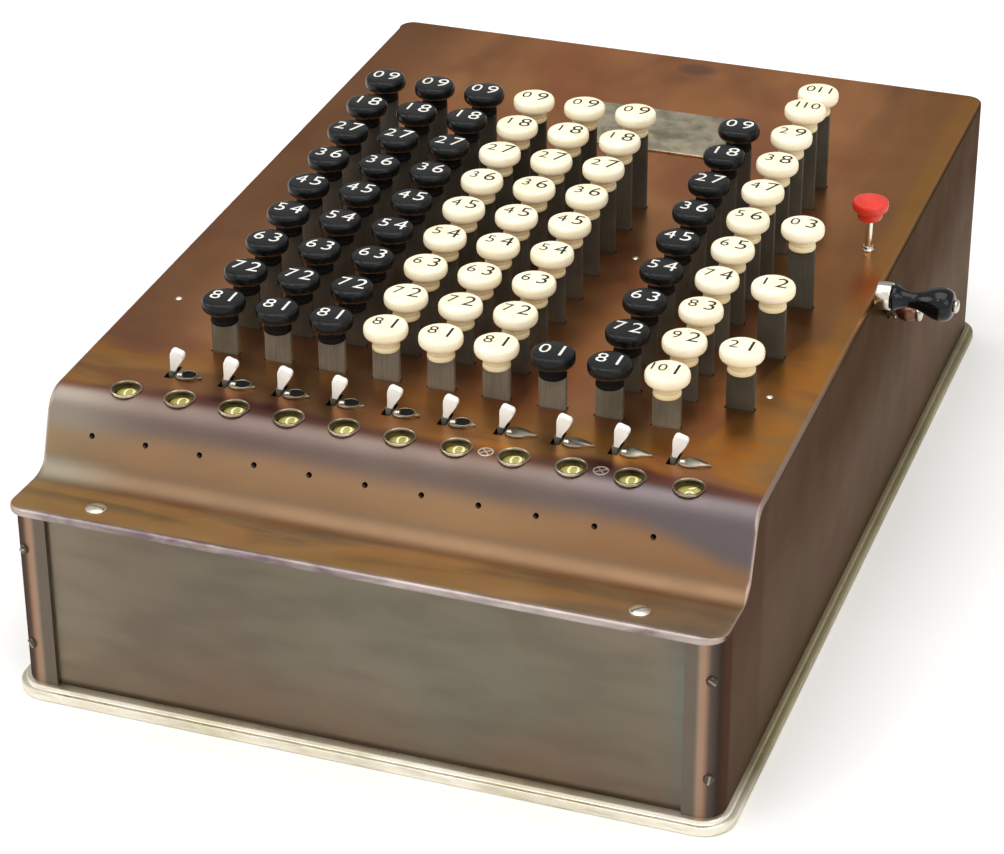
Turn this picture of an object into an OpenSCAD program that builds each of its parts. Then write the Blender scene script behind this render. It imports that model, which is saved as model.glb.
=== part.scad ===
// Key-driven calculator: ten key columns, eleven numeral wheels, a clearing crank
// and one release key in a curved sheet-metal case on a plated base.
// Millimetres, +Z up, front towards -Y, origin at the centre of the base's underside.

/* [Case] */
// Width of the cover over its side walls
case_w = 245; // [240:1:280]
// Depth of the cover from the front panel to the rear wall
case_d = 364; // [355:1:420]
// Thickness of the cover's sheet
wall = 1.6; // [1.2:0.1:2.4]
// Height of the deck's rear edge above the base plate
rear_h = 100.3; // [90:0.1:110]
// Rise of the deck towards the rear, in degrees
deck_slope = 1; // [0:0.1:2]
// Distance from the front panel to the crest of the curved front
crest_y = 34.4; // [32:0.1:37]
// Distance from the front panel to the foot of the curved front
foot_y = 25; // [22:0.5:28]
// Height of the foot of the curved front above the base plate
foot_h = 68; // [66.5:0.1:69.5]
// Radius of the curved front at its crest and its foot
curve_r = 9; // [8:0.5:13]
// Height of the front lip's top above the base plate
lip_h = 70; // [68:0.1:71]
// Overhang of the front lip past the front panel
lip_out = 4; // [2:0.5:6]
// Thickness of the front lip's edge
lip_t = 2.4; // [2:0.1:3]
// Radius of the case's upright corners
corner_r = 8; // [6:0.5:10]
// Width of the corner flanges beside the front panel
flange_w = 13; // [12:0.5:16]

/* [Base] */
// Thickness of the base plate
base_t = 5; // [4:0.5:8]
// Overhang of the base plate past the case
rim_out = 3.5; // [3:0.5:8]

/* [Keyboard] */
// Distance between key columns, and between numeral wheels
pitch = 19.5; // [19:0.1:20]
// Sideways shift of the key columns from the numeral wheels
key_dx = 1.4; // [0:0.1:2]
// Distance between key rows, measured level
row_pitch = 18.7; // [18:0.1:19.2]
// Rise of the key tops from each row to the next
row_rise = 2.5; // [1:0.1:3]
// Distance from the front panel to the first key row
first_row_y = 76; // [74:0.2:80]
// Height of the first row's key tops above the deck
key_h = 20.8; // [19:0.1:26]
// Diameter of a key top
cap_d = 15; // [13:0.5:16]
// Thickness of a key top
cap_t = 5.2; // [4:0.1:6]
// Radius of a key top's edge
cap_r = 1.8; // [0.8:0.1:1.9]
// Diameter of the neck under a key top
neck_d = 9.2; // [8:0.1:11]
// Height of the neck under a key top
neck_t = 4; // [3:0.1:5]
// Width of a key stem
stem_w = 9.5; // [8:0.1:10]
// Thickness of a key stem
stem_t = 2; // [1.5:0.1:2.5]
// How much lower the rearmost key of the longest column stands
last_drop = 4; // [0:0.5:6]
// Gap between sliding pieces and their slots
slide_gap = 0.4; // [0.3:0.05:0.5]

/* [Key action] */
// Height of the stems' lower ends above the base plate
stem_end_h = 53; // [51:0.5:55]
// Distance from the front panel to the levers' shaft
pivot_y = 316; // [311:1:321]
// Least gap between the levers' hubs and the rear wall
pivot_gap = 20; // [15:1:30]
// Diameter of the levers' shaft
pivot_d = 8; // [6:0.5:9]
// Thickness of a column lever
lever_t = 3; // [2:0.1:4]
// Height of a column lever's bar
lever_h = 10; // [8:0.5:11]
// Diameter of a column lever's hub
hub_d = 15; // [13:0.5:16]
// Width of a column lever's hub
hub_w = 6; // [5:0.5:7]
// Distance from the front panel to the levers' front ends
lever_end_y = 54.5; // [54:0.5:58]
// Length along the machine of the levers' upright sectors
sector_d = 5; // [3:0.5:6]
// Height of the levers' upright sectors above the bar
sector_h = 29; // [23:0.5:31]
// Radial gap of a turning piece on its shaft
run_gap = 0.05; // [0.02:0.01:0.1]
// Wire diameter of the lever springs
spring_wire = 1.6; // [1.2:0.1:2]
// Height of the lower key guide above the base plate
guide_h = 62; // [60:0.5:64]
// Thickness of the lower key guide
guide_t = 2; // [1.5:0.1:3]
// Margin of the lower key guide around the outer rows
guide_edge = 6; // [4:0.5:8]
// Thickness of the side frames
frame_t = 3; // [2:0.1:4]
// Distance from the outer key stems' columns to the side frames
frame_gap = 8.5; // [8:0.5:9]

/* [Register] */
// Distance from the front panel to the dial windows
dial_y = 41.4; // [40.4:0.2:42.4]
// Inner diameter of a dial window's rim
window_d = 8.4; // [8:0.1:10]
// Outer diameter of a dial window's rim
bezel_d = 10.8; // [10.6:0.1:13]
// Wall of the rim's sleeve inside the window
sleeve_t = 0.6; // [0.4:0.1:0.8]
// Height of a dial window's rim above the deck
bezel_h = 0.9; // [0.5:0.1:1.5]
// Radius of a numeral wheel
wheel_r = 8; // [6.5:0.5:9]
// Width of a numeral wheel
wheel_w = 9; // [7:0.5:9.4]
// Gap between the numeral wheels and the window rims' sleeves
wheel_gap = 0.4; // [0.3:0.1:1.5]
// Distance of the numeral wheels' shaft behind the dial windows
wheel_back = 4; // [3:0.5:5]
// Diameter of the numeral wheels' shaft
wheel_pin = 5; // [4:0.5:7]
// Side of the detent comb's bar
detent_bar = 4; // [3:0.5:5]
// Least gap between the register and the curved front's inner face
front_gap = 0.5; // [0.3:0.1:1]
// Gap between a detent finger and its wheel
detent_gap = 0.4; // [0.3:0.1:0.8]
// Height of the decimal pointer holes above the base plate
pointer_h = 81.6; // [79.6:0.1:83.6]
// Diameter of a decimal pointer hole
pointer_d = 2; // [1.5:0.1:2.5]
// Sideways shift of a pointer hole from its dial window
pointer_dx = -7.9; // [-9:0.1:-7]

/* [Cutoff levers] */
// Sideways shift of a cutoff lever from its key column
cutoff_dx = -11.15; // [-11.4:0.05:-10.8]
// Distance from the front panel to the cutoff levers' shaft
cutoff_y = 57.2; // [56.2:0.1:58.2]
// Depth of the cutoff levers' shaft below the deck
cutoff_drop = 7; // [7:0.1:9]
// Diameter of the cutoff levers' shaft
cutoff_pin = 3; // [2:0.1:3.4]
// Thickness of a cutoff lever's blade
cutoff_t = 2; // [1.5:0.1:2.2]
// Depth of a cutoff lever's blade
cutoff_d = 3.2; // [3:0.1:5]
// Height of a cutoff lever's paddle above the deck
paddle_h = 9.5; // [9:0.5:14]
// Width of a paddle
paddle_w = 5.6; // [4:0.1:7]
// Thickness of a paddle
paddle_t = 2.4; // [1.5:0.1:3]
// Height of a paddle's lower edge above the deck
paddle_base = 2.4; // [2:0.1:4]
// Tilt of a cutoff lever, in degrees
cutoff_tilt = 14; // [10:1:20]
// Length of a cutoff plate across the machine
plate_l = 12.5; // [11:0.5:14]
// Distance of a cutoff plate in front of the cutoff levers' shaft
plate_fore = 1.4; // [1:0.1:2]
// Depth of a cutoff plate
plate_d = 6.5; // [6:0.5:8]
// Thickness of the cutoff plates and the name plate
plate_t = 0.8; // [0.6:0.1:1.2]

/* [Crank and release key] */
// Distance from the front panel to the crank's shaft
crank_y = 208; // [200:1:220]
// Height of the crank's shaft above the base plate
crank_h = 81; // [70:1:84]
// Diameter of the crank arm's hub
crank_hub_d = 7; // [7:0.5:10]
// Length of the crank arm's hub
crank_hub_l = 11; // [5:0.5:14]
// Diameter of the crank's shaft
crank_pin = 5; // [4:0.5:7]
// Distance of the crank knob in front of the crank's shaft
crank_fore = 28; // [18:1:34]
// Height of the crank knob above the crank's shaft
crank_rise = 19.5; // [12:0.5:24]
// Thickness of the crank arm
arm_t = 2.4; // [2:0.1:4]
// Gap between the crank arm and the case
arm_gap = 1.2; // [0.8:0.1:2]
// Diameter of the ferrule at the knob's root
ferrule_d = 10; // [9:0.5:13]
// Length of the ferrule at the knob's root
ferrule_l = 3; // [2:0.1:4]
// Length of the crank knob
knob_l = 22; // [20:0.5:32]
// Diameter of the crank knob's bulge
knob_d = 12.4; // [11:0.1:15]
// Diameter of the crank knob's spindle
spindle_d = 3; // [3:0.5:5]
// Sideways place of the release key
release_x = 111; // [111:0.5:114]
// Distance from the front panel to the release key
release_y = 219; // [205:1:225]
// Height of the release key's top above the deck
release_h = 19.5; // [18:0.5:28]
// Diameter of the release key's head
release_d = 13; // [10:0.5:14]
// Thickness of the release key's head
release_t = 7.5; // [5:0.5:8]
// Diameter of the release key's stem
release_pin = 2.8; // [2.4:0.1:4]
// Length of the release key's stem below the deck
release_below = 14; // [10:0.5:20]

/* [Trim] */
// Width of the name plate
name_w = 60; // [40:1:70]
// Depth of the name plate
name_d = 36; // [20:1:40]
// Sideways place of the name plate
name_x = 11; // [5:1:15]
// Distance from the front panel to the name plate's centre
name_y = 290.5; // [280:0.5:300]
// Diameter of a lip screw's head
lip_screw_d = 7; // [5:0.1:7.5]
// Diameter of a flange screw's head
screw_d = 4.4; // [4:0.1:6]
// Height of a screw head
screw_h = 1.2; // [0.8:0.1:1.6]
// Diameter of a screw's shank
shank_d = 2.8; // [2:0.1:3]
// Length of a screw's shank
shank_l = 2; // [1.7:0.1:2.2]
// Sideways place of the lip screws
lip_screw_x = 93; // [80:1:100]
// Distance from the front panel to the lip screws
lip_screw_y = 5.7; // [3.5:0.1:6]
// Heights of the flange screws above the base plate
flange_screw_h = [15, 52];
// Turn of the flange screws round the rounded corners, in degrees
flange_screw_turn = 26; // [20:1:40]

/* [Hidden] */
$fn = 64;
// Points on each rounded corner of an outline
arc_steps = 10;
// Overlap that cuts pass through a face by
cut = 1;
// Rounding of the rear top edge and of the lip's nose
rear_r = 4;
nose_r = 1.2;
// Key rows that each column has, counted from the front
COLUMN_ROWS = [
    for (c = [1 : 10]) c == 7 ? [1] : c == 9 ? [1 : 11] : c == 10 ? [2, 4, 6] : [1 : 9]
];
LONGEST_ROW = 11;
WHITE_COLUMNS = [4, 5, 6, 9, 10];
// Places of the small rivets in the deck
RIVETS = [[-108, 106], [34, 186], [106, 105]];
rivet_d = 2.4;

half_w = case_w / 2;
rear_z = base_t + rear_h;
lip_top = base_t + lip_h;
lip_under = lip_top - lip_t;
// Lean of the curved front's steep face, and the level thickness of its sheet
face_slope = (crest_y - foot_y) / (deck_z(crest_y) - base_t - foot_h);
wall_y = wall * norm([1, face_slope]);
frame_x = 5 * pitch + frame_gap;
shank_hole = shank_d + 0.2;
stem_slot = [stem_w + 2 * slide_gap, stem_t + 2 * slide_gap];
stem_end_z = base_t + stem_end_h;
lever_top = stem_end_z - slide_gap;
pivot_z = lever_top - lever_h / 2;
guide_z = base_t + guide_h;
wheel_z = deck_z(dial_y + wheel_back) - wall - wheel_gap - wheel_r;
detent_z = wheel_z - wheel_r - 1.5 * detent_bar;
// The windows stand at dial_y, or further back where the curved front needs it for the wheels
wheel_front_y = face_y(wheel_z) + wall_y + front_gap * norm([1, face_slope]);
register_y = max(dial_y, wheel_front_y + wheel_r * norm([1, face_slope]) - wheel_back);
wheel_y = register_y + wheel_back;
cutoff_row_y = cutoff_y + register_y - dial_y;
cutoff_z = deck_z(cutoff_row_y) - cutoff_drop;
// How far a cutoff lever's blade moves in its slot
cutoff_swing = cutoff_drop * tan(cutoff_tilt);
// The levers' shaft stands at pivot_y, or further forward in a short case
lever_shaft_y = min(pivot_y, case_d - wall - pivot_gap - hub_d / 2);
crank_z = base_t + crank_h;
arm_x = half_w + arm_gap;
knob_x = arm_x + arm_t + ferrule_l;
panel_w = case_w - 2 * corner_r - 0.4;

COLUMNS = [1 : 10];
WHEELS = [1 : 11];

// Height of the deck's outer face at a distance from the front panel
function deck_z(y) = base_t + rear_h - (case_d - y) * tan(deck_slope);
// Distance from the front panel to the steep face's outer side at a height
function face_y(z) = foot_y + (z - base_t - foot_h) * face_slope;
function column_x(c) = (c - 5) * pitch + key_dx;
function wheel_x(w) = (w - 6) * pitch;
function row_y(r) = first_row_y + (r - 1) * row_pitch;
function key_top(r) = deck_z(first_row_y) + key_h + (r - 1) * row_rise - (r == LONGEST_ROW ? last_drop : 0);
function is_white(c) = len(search(c, WHITE_COLUMNS)) > 0;

function unit(v) = v / norm(v);
function turn(u, v) = u.x * v.y - u.y * v.x;
// Points of the arc that rounds corner b between a and c
function corner(a, b, c, r) = let (
    u = unit(a - b),
    v = unit(c - b),
    half = acos(u * v) / 2,
    centre = b + unit(u + v) * r / sin(half),
    from = b + u * r / tan(half) - centre,
    to = b + v * r / tan(half) - centre,
    start = atan2(from.y, from.x),
    sweep = atan2(turn(from, to), from * to)
) [
    for (i = [0 : arc_steps]) let (angle = start + sweep * i / arc_steps)
        centre + r * [cos(angle), sin(angle)]
];
// Outline through [x, y, radius] points, each corner rounded by its radius
function outline(p) = [
    for (i = [0 : len(p) - 1]) let (
        n = len(p),
        at = [p[i].x, p[i].y],
        before = p[(i + n - 1) % n],
        after = p[(i + 1) % n]
    ) each p[i].z > 0 ? corner([before.x, before.y], at, [after.x, after.y], p[i].z) : [at]
];
// The same points moved inwards by t, for an outline that runs anticlockwise
function inset(p, t) = [
    for (i = [0 : len(p) - 1]) let (
        n = len(p),
        at = [p[i].x, p[i].y],
        before = p[(i + n - 1) % n],
        after = p[(i + 1) % n],
        u = unit(at - [before.x, before.y]),
        v = unit([after.x, after.y] - at),
        shift = ([-u.y, u.x] + [-v.y, v.x]) * t / (1 + u * v),
        r = p[i].z == 0 ? 0 : p[i].z + (turn(u, v) > 0 ? -t : t)
    ) [at.x + shift.x, at.y + shift.y, r]
];

// Side outline of the cover from z = bottom upwards, with its front edge at y = front
function side_points(front, bottom) = [
    [front, bottom, 0],
    [case_d, bottom, 0],
    [case_d, rear_z, rear_r],
    [crest_y, deck_z(crest_y), curve_r],
    [foot_y, base_t + foot_h, curve_r]
];
function plan_points(front, w, d, r) = [
    [-w / 2, front, r], [w / 2, front, r], [w / 2, d, r], [-w / 2, d, r]
];

// Moves a shape from distances behind the front panel into the part's frame
module placed() { translate([0, -case_d / 2, 0]) children(); }
// Stands a side outline drawn in y and z on the x axis, w wide about x = 0
module across(w) {
    translate([-w / 2, 0, 0]) rotate([90, 0, 90]) linear_extrude(w) children();
}
module rod(d, from_x, to_x, y, z) {
    translate([from_x, y, z]) rotate([0, 90, 0]) cylinder(d = d, h = to_x - from_x);
}
// Sets a shape on the deck at x and y, tilted with the deck
module on_deck(x, y) { translate([x, y, deck_z(y)]) rotate([deck_slope, 0, 0]) children(); }
module block(size, at) { translate(at - [size.x, size.y, 0] / 2) cube(size); }

module plan(front, w, d, r, from_z, to_z) {
    translate([0, 0, from_z]) linear_extrude(to_z - from_z)
        polygon(outline(plan_points(front, w, d, r)));
}

module cover_outside() {
    intersection() {
        across(case_w) polygon(outline(concat(
            side_points(-lip_out, lip_under), [[-lip_out, lip_top, nose_r]]
        )));
        plan(-lip_out, case_w, case_d, corner_r, lip_under, rear_z + cut);
    }
    plan(0, case_w, case_d, corner_r, base_t, lip_under);
}

module cover_inside() {
    intersection() {
        across(case_w) polygon(outline(inset(concat(
            side_points(0, base_t - wall - cut), [[0, lip_top, 0]]
        ), wall)));
        plan(wall, case_w - 2 * wall, case_d - wall, corner_r - wall, base_t - cut, rear_z);
    }
}

module stem_slots(from_z, height) {
    for (c = COLUMNS) for (r = COLUMN_ROWS[c - 1])
        block([stem_slot.x, stem_slot.y, height], [column_x(c), row_y(r), from_z]);
}

// Sets a shape on the rounded corner flanges, with +Z out of the sheet
module on_flanges() {
    for (side = [-1, 1]) for (h = flange_screw_h)
        translate([side * (half_w - corner_r), corner_r, base_t + h])
            rotate([0, 0, side * flange_screw_turn])
            translate([0, -corner_r, 0]) rotate([90, 0, 0]) children();
}

module pointer_holes() {
    for (w = WHEELS) translate([wheel_x(w) + pointer_dx, 0, base_t + pointer_h])
        rotate([-90, 0, 0]) cylinder(d = pointer_d, h = crest_y);
}

module top_cover() {
    color("#7a4e33") placed() difference() {
        cover_outside();
        cover_inside();
        // Opening of the front panel between the corner flanges
        block([case_w - 2 * flange_w, 4 * wall, lip_under - base_t + cut], [0, 0, base_t - cut]);
        stem_slots(guide_z, rear_z);
        on_flanges() translate([0, 0, -2 * wall]) cylinder(d = shank_hole, h = 2 * wall + cut);
        pointer_holes();
        for (w = WHEELS) on_deck(wheel_x(w), register_y)
            translate([0, 0, -4 * wall]) cylinder(d = window_d + 2 * sleeve_t, h = 8 * wall);
        for (c = COLUMNS) block(
            [cutoff_t + 3 * slide_gap, cutoff_d + 2 * cutoff_swing + 4 * slide_gap, rear_z],
            [column_x(c) + cutoff_dx, cutoff_row_y, guide_z]
        );
        for (side = [-1, 1]) translate([side * lip_screw_x, lip_screw_y, lip_under])
            cylinder(d = shank_hole, h = 4 * lip_t);
        for (p = RIVETS) on_deck(p.x, p.y) translate([0, 0, -2 * wall])
            cylinder(d = rivet_d, h = 4 * wall);
        translate([release_x, release_y, guide_z]) cylinder(d = release_pin + 2 * slide_gap, h = rear_z);
        rod(crank_pin + 6 * slide_gap, half_w - 2 * wall, half_w + cut, crank_y, crank_z);
    }
}

module front_panel() {
    color("#5c5348") placed()
        block([panel_w, wall, lip_under - base_t], [0, 1.5 * wall, base_t]);
}

module base_plate() {
    color("#c9c5b8") placed()
        plan(-rim_out, case_w + 2 * rim_out, case_d + rim_out, corner_r + rim_out, 0, base_t);
}

// Upright plate that carries the shafts, with its lower x face at x = from_x
module side_frame(from_x) {
    front = wheel_y - 0.8 * wheel_pin;
    rear = lever_shaft_y + hub_d;
    top = cutoff_z + cutoff_pin / 2 + 1;
    to_x = from_x + frame_t;
    difference() {
        translate([from_x, 0, 0]) rotate([90, 0, 90]) linear_extrude(frame_t) polygon([
            [front, base_t], [rear, base_t], [rear, top], [front, top]
        ]);
        rod(pivot_d, from_x - cut, to_x + cut, lever_shaft_y, pivot_z);
        rod(wheel_pin, from_x - cut, to_x + cut, wheel_y, wheel_z);
        rod(cutoff_pin, from_x - cut, to_x + cut, cutoff_row_y, cutoff_z);
    }
}

module left_side_frame() { color("#6d6a64") placed() side_frame(-frame_x - frame_t); }

module right_side_frame() {
    color("#6d6a64") placed() difference() {
        side_frame(frame_x);
        rod(crank_pin + 2 * run_gap, frame_x - cut, frame_x + frame_t + cut, crank_y, crank_z);
    }
}

module key_guide_plate() {
    depth = row_y(LONGEST_ROW) - first_row_y + 2 * guide_edge;
    color("#77736b") placed() difference() {
        block([2 * frame_x, depth, guide_t], [0, (first_row_y + row_y(LONGEST_ROW)) / 2, guide_z]);
        stem_slots(guide_z - cut, guide_t + 2 * cut);
    }
}

module lever_shaft() {
    color("#9a978f") placed() rod(pivot_d, -frame_x - frame_t, frame_x + frame_t, lever_shaft_y, pivot_z);
}
module wheel_shaft() {
    color("#9a978f") placed() rod(wheel_pin, -frame_x - frame_t, frame_x + frame_t, wheel_y, wheel_z);
}
module cutoff_shaft() {
    color("#9a978f") placed() rod(cutoff_pin, -frame_x - frame_t, frame_x + frame_t, cutoff_row_y, cutoff_z);
}

// Wound springs on the levers' shaft, one beside each lever's hub
module lever_springs() {
    turns = 3;
    ring_r = (pivot_d + spring_wire) / 2 + slide_gap;
    first_x = hub_w / 2 + spring_wire;
    color("#a8a49a") placed() for (c = COLUMNS) {
        translate([column_x(c) - first_x, lever_shaft_y, pivot_z]) rotate([0, -90, 0])
            for (i = [0 : turns - 1]) translate([0, 0, i * spring_wire * 0.9])
                rotate_extrude() translate([ring_r, 0]) circle(d = spring_wire);
    }
}

// Comb of spring fingers that hold the numeral wheels at their digits
module wheel_detents() {
    reach = wheel_r + detent_gap;
    color("#8f8b82") placed() {
        block([2 * frame_x, detent_bar, detent_bar], [0, wheel_y, detent_z - detent_bar / 2]);
        for (w = WHEELS) difference() {
            block([detent_bar, detent_bar / 2, 2 * detent_bar], [wheel_x(w), wheel_y, detent_z]);
            rod(2 * reach, wheel_x(w) - wheel_w, wheel_x(w) + wheel_w, wheel_y, wheel_z);
        }
    }
}

module dial_bezels() {
    color("#8a7b62") placed() for (w = WHEELS) on_deck(wheel_x(w), register_y) difference() {
        union() {
            cylinder(d = bezel_d, h = bezel_h);
            translate([0, 0, -wall]) cylinder(d = window_d + 2 * sleeve_t, h = wall);
        }
        translate([0, 0, -2 * wall]) cylinder(d = window_d, h = 2 * wall + bezel_h + cut);
    }
}

// Leaf-shaped plates beside the cutoff levers, each with an oval hole
module cutoff_plates() {
    leaf_r = (pow(plate_l / 2, 2) + pow(plate_d / 2, 2)) / plate_d;
    hole_d = plate_d / 3;
    color("#b9b5a9") placed() for (c = COLUMNS)
        on_deck(column_x(c) + cutoff_dx + plate_l / 2 + paddle_t, cutoff_row_y - plate_fore)
            linear_extrude(plate_t) difference() {
                intersection_for (side = [-1, 1])
                    translate([0, side * (leaf_r - plate_d / 2)]) circle(leaf_r);
                for (side = [-1, 1]) translate([side * hole_d / 2 - 1, 0]) circle(d = hole_d);
                translate([-1, 0]) square(hole_d, center = true);
            }
}

module name_plate() {
    color("#a9a79d") placed() on_deck(name_x, name_y)
        translate([-name_w / 2, -name_d / 2, 0]) cube([name_w, name_d, plate_t]);
}

// One slotted screw with its head above z = 0
module screw(head_d) {
    difference() {
        union() {
            cylinder(d = head_d, h = screw_h);
            translate([0, 0, -shank_l]) cylinder(d = shank_d, h = shank_l);
        }
        block([head_d + cut, screw_h * 0.6, screw_h], [0, 0, screw_h / 2]);
    }
}

module case_screws() {
    lip_slope = atan2(foot_h - lip_h, foot_y + lip_out);
    color("#b5b0a2") placed() {
        for (side = [-1, 1]) {
            translate([side * lip_screw_x, lip_screw_y, lip_top + (lip_screw_y + lip_out) * tan(lip_slope)])
                rotate([lip_slope, 0, 0]) screw(lip_screw_d);
        }
        on_flanges() screw(screw_d);
        for (p = RIVETS) on_deck(p.x, p.y) translate([0, 0, -wall])
            cylinder(d = rivet_d, h = wall + 0.4);
    }
}

// One key: a round top on a neck and a flat stem down to the column's lever
module key(r) {
    top = key_top(r);
    // The stem's upper end is held inside the neck
    stem_top = top - cap_t - neck_t / 2;
    translate([0, row_y(r), top - cap_t]) {
        rotate_extrude() polygon(concat(
            [[0, -neck_t], [neck_d / 2, -neck_t], [neck_d / 2, 0]],
            outline([[cap_d / 2, 0, cap_r], [cap_d / 2, cap_t, cap_r], [0, cap_t, 0], [0, 0, 0]])
        ));
    }
    block([stem_w, stem_t, stem_top - stem_end_z], [0, row_y(r), stem_end_z]);
}

module key_column(c) {
    color(is_white(c) ? "#e9dfc2" : "#16181a") placed()
        translate([column_x(c), 0, 0]) for (r = COLUMN_ROWS[c - 1]) key(r);
}

// Bar under a key column, hinged on the rear shaft, with an upright sector at its front
module column_lever(c) {
    bar_z = lever_top - lever_h;
    color("#85817a") placed() translate([column_x(c), 0, 0]) difference() {
        union() {
            translate([-lever_t / 2, lever_end_y, bar_z]) {
                cube([lever_t, lever_shaft_y - lever_end_y, lever_h]);
                cube([lever_t, sector_d, lever_h + sector_h]);
            }
            rod(hub_d, -hub_w / 2, hub_w / 2, lever_shaft_y, pivot_z);
        }
        rod(pivot_d + 2 * run_gap, -hub_w, hub_w, lever_shaft_y, pivot_z);
    }
}

// Paddle on a thin blade that swings fore and aft on the cutoff shaft
module cutoff_lever(c) {
    rise = cutoff_drop + paddle_h;
    color("#e8e6df") placed() translate([column_x(c) + cutoff_dx, cutoff_row_y, cutoff_z]) difference() {
        union() {
            block([cutoff_t, cutoff_d, cutoff_drop + paddle_base + cut], [0, 0, 0]);
            rod(cutoff_pin + cutoff_d, -cutoff_t / 2, cutoff_t / 2, 0, 0);
            translate([0, paddle_t / 2, rise - paddle_w / 2]) rotate([90, 0, 0]) linear_extrude(paddle_t) {
                circle(d = paddle_w);
                translate([-paddle_w * 0.35, -rise + paddle_w / 2 + cutoff_drop + paddle_base])
                    square([paddle_w * 0.7, paddle_h - paddle_base - paddle_w / 2]);
            }
        }
        rod(cutoff_pin + 2 * run_gap, -cutoff_t, cutoff_t, 0, 0);
    }
}

module numeral_wheel(w) {
    web = wheel_w / 3;
    color("#c9b23f") placed() translate([wheel_x(w), wheel_y, wheel_z]) difference() {
        rod(2 * wheel_r, -wheel_w / 2, wheel_w / 2, 0, 0);
        for (side = [-1, 1]) difference() {
            rod(2 * wheel_r - 4, side * wheel_w / 2 - web / 2, side * wheel_w / 2 + web / 2, 0, 0);
            rod(wheel_pin + 4, -wheel_w, wheel_w, 0, 0);
        }
        rod(wheel_pin + 2 * run_gap, -wheel_w, wheel_w, 0, 0);
    }
}

module crank_shaft() {
    color("#a39f94") placed() rod(crank_pin, frame_x, arm_x, crank_y, crank_z);
}

module crank_arm() {
    knob = [crank_y - crank_fore, crank_z + crank_rise];
    length = norm([crank_fore, crank_rise]);
    tip_x = knob_x + knob_l + run_gap;
    color("#c2beb1") placed() {
        rod(crank_hub_d, arm_x, arm_x + crank_hub_l, crank_y, crank_z);
        rod(ferrule_d, arm_x, knob_x, knob.x, knob.y);
        rod(spindle_d, knob_x, tip_x, knob.x, knob.y);
        rod(spindle_d + 2, tip_x, tip_x + 1.5, knob.x, knob.y);
        translate([arm_x, crank_y, crank_z]) rotate([atan2(crank_fore, crank_rise), 0, 0])
            translate([0, -crank_pin / 2, 0]) cube([arm_t, crank_pin, length]);
    }
}

// Turned handle that spins on the crank's spindle
module crank_knob() {
    knob = [crank_y - crank_fore, crank_z + crank_rise];
    bore = spindle_d / 2 + run_gap;
    root = ferrule_d / 2 - 1.2;
    color("#15161a") placed() translate([knob_x + run_gap, knob.x, knob.y]) rotate([0, 90, 0])
        rotate_extrude() polygon(concat(
            [[bore, 0]],
            outline([
                [root, 0, 0], [root, knob_l * 0.12, 1], [root - 1.4, knob_l * 0.32, 6],
                [knob_d / 2, knob_l * 0.62, 6], [knob_d / 2 - 1.2, knob_l - 2 * run_gap, 3.5],
                [bore, knob_l - 2 * run_gap, 0], [bore, 0, 0]
            ])
        ));
}

module release_key() {
    top = deck_z(release_y) + release_h;
    head = release_d / 2;
    bottom = deck_z(release_y) - release_below;
    color("#c8281c") placed() translate([release_x, release_y, 0]) {
        translate([0, 0, bottom]) cylinder(d = release_pin, h = top - release_t - bottom);
        translate([0, 0, top - release_t]) rotate_extrude() polygon(outline([
            [0, 0, 0], [head * 0.6, 0, 0], [head * 0.6, release_t * 0.4, 0],
            [head, release_t * 0.4, 0.8], [head, release_t, 1.2], [0, release_t, 0]
        ]));
    }
}

base_plate();
front_panel();
top_cover();
left_side_frame();
right_side_frame();
key_guide_plate();
lever_shaft();
wheel_shaft();
cutoff_shaft();
lever_springs();
wheel_detents();
dial_bezels();
cutoff_plates();
name_plate();
case_screws();
crank_shaft();
crank_arm();
crank_knob();
release_key();
for (c = COLUMNS) key_column(c);
for (c = COLUMNS) column_lever(c);
for (c = COLUMNS) cutoff_lever(c);
for (w = WHEELS) numeral_wheel(w);
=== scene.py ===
"""Key-driven calculator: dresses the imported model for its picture."""
import math

import bmesh
import bpy
from mathutils import Matrix, Vector


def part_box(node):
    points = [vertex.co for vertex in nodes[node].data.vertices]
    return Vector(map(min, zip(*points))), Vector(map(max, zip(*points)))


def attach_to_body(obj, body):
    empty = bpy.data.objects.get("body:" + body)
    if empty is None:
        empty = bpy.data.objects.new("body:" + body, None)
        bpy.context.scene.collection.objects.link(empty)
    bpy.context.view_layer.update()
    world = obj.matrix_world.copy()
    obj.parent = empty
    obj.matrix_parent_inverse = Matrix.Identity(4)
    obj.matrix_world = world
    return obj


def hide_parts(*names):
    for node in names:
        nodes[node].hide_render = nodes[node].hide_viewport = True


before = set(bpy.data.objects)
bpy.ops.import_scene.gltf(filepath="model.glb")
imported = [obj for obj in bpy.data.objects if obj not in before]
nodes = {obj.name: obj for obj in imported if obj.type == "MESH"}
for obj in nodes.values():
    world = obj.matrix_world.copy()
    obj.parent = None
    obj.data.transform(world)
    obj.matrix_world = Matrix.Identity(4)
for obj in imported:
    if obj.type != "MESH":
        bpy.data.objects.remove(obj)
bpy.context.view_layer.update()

MM = 0.001
COLUMNS = range(1, 11)
WHEELS = range(1, 12)
WHITE_COLUMNS = (4, 5, 6, 9, 10)
ROWS = {7: [1], 9: list(range(1, 12)), 10: [2, 4, 6]}

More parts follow.
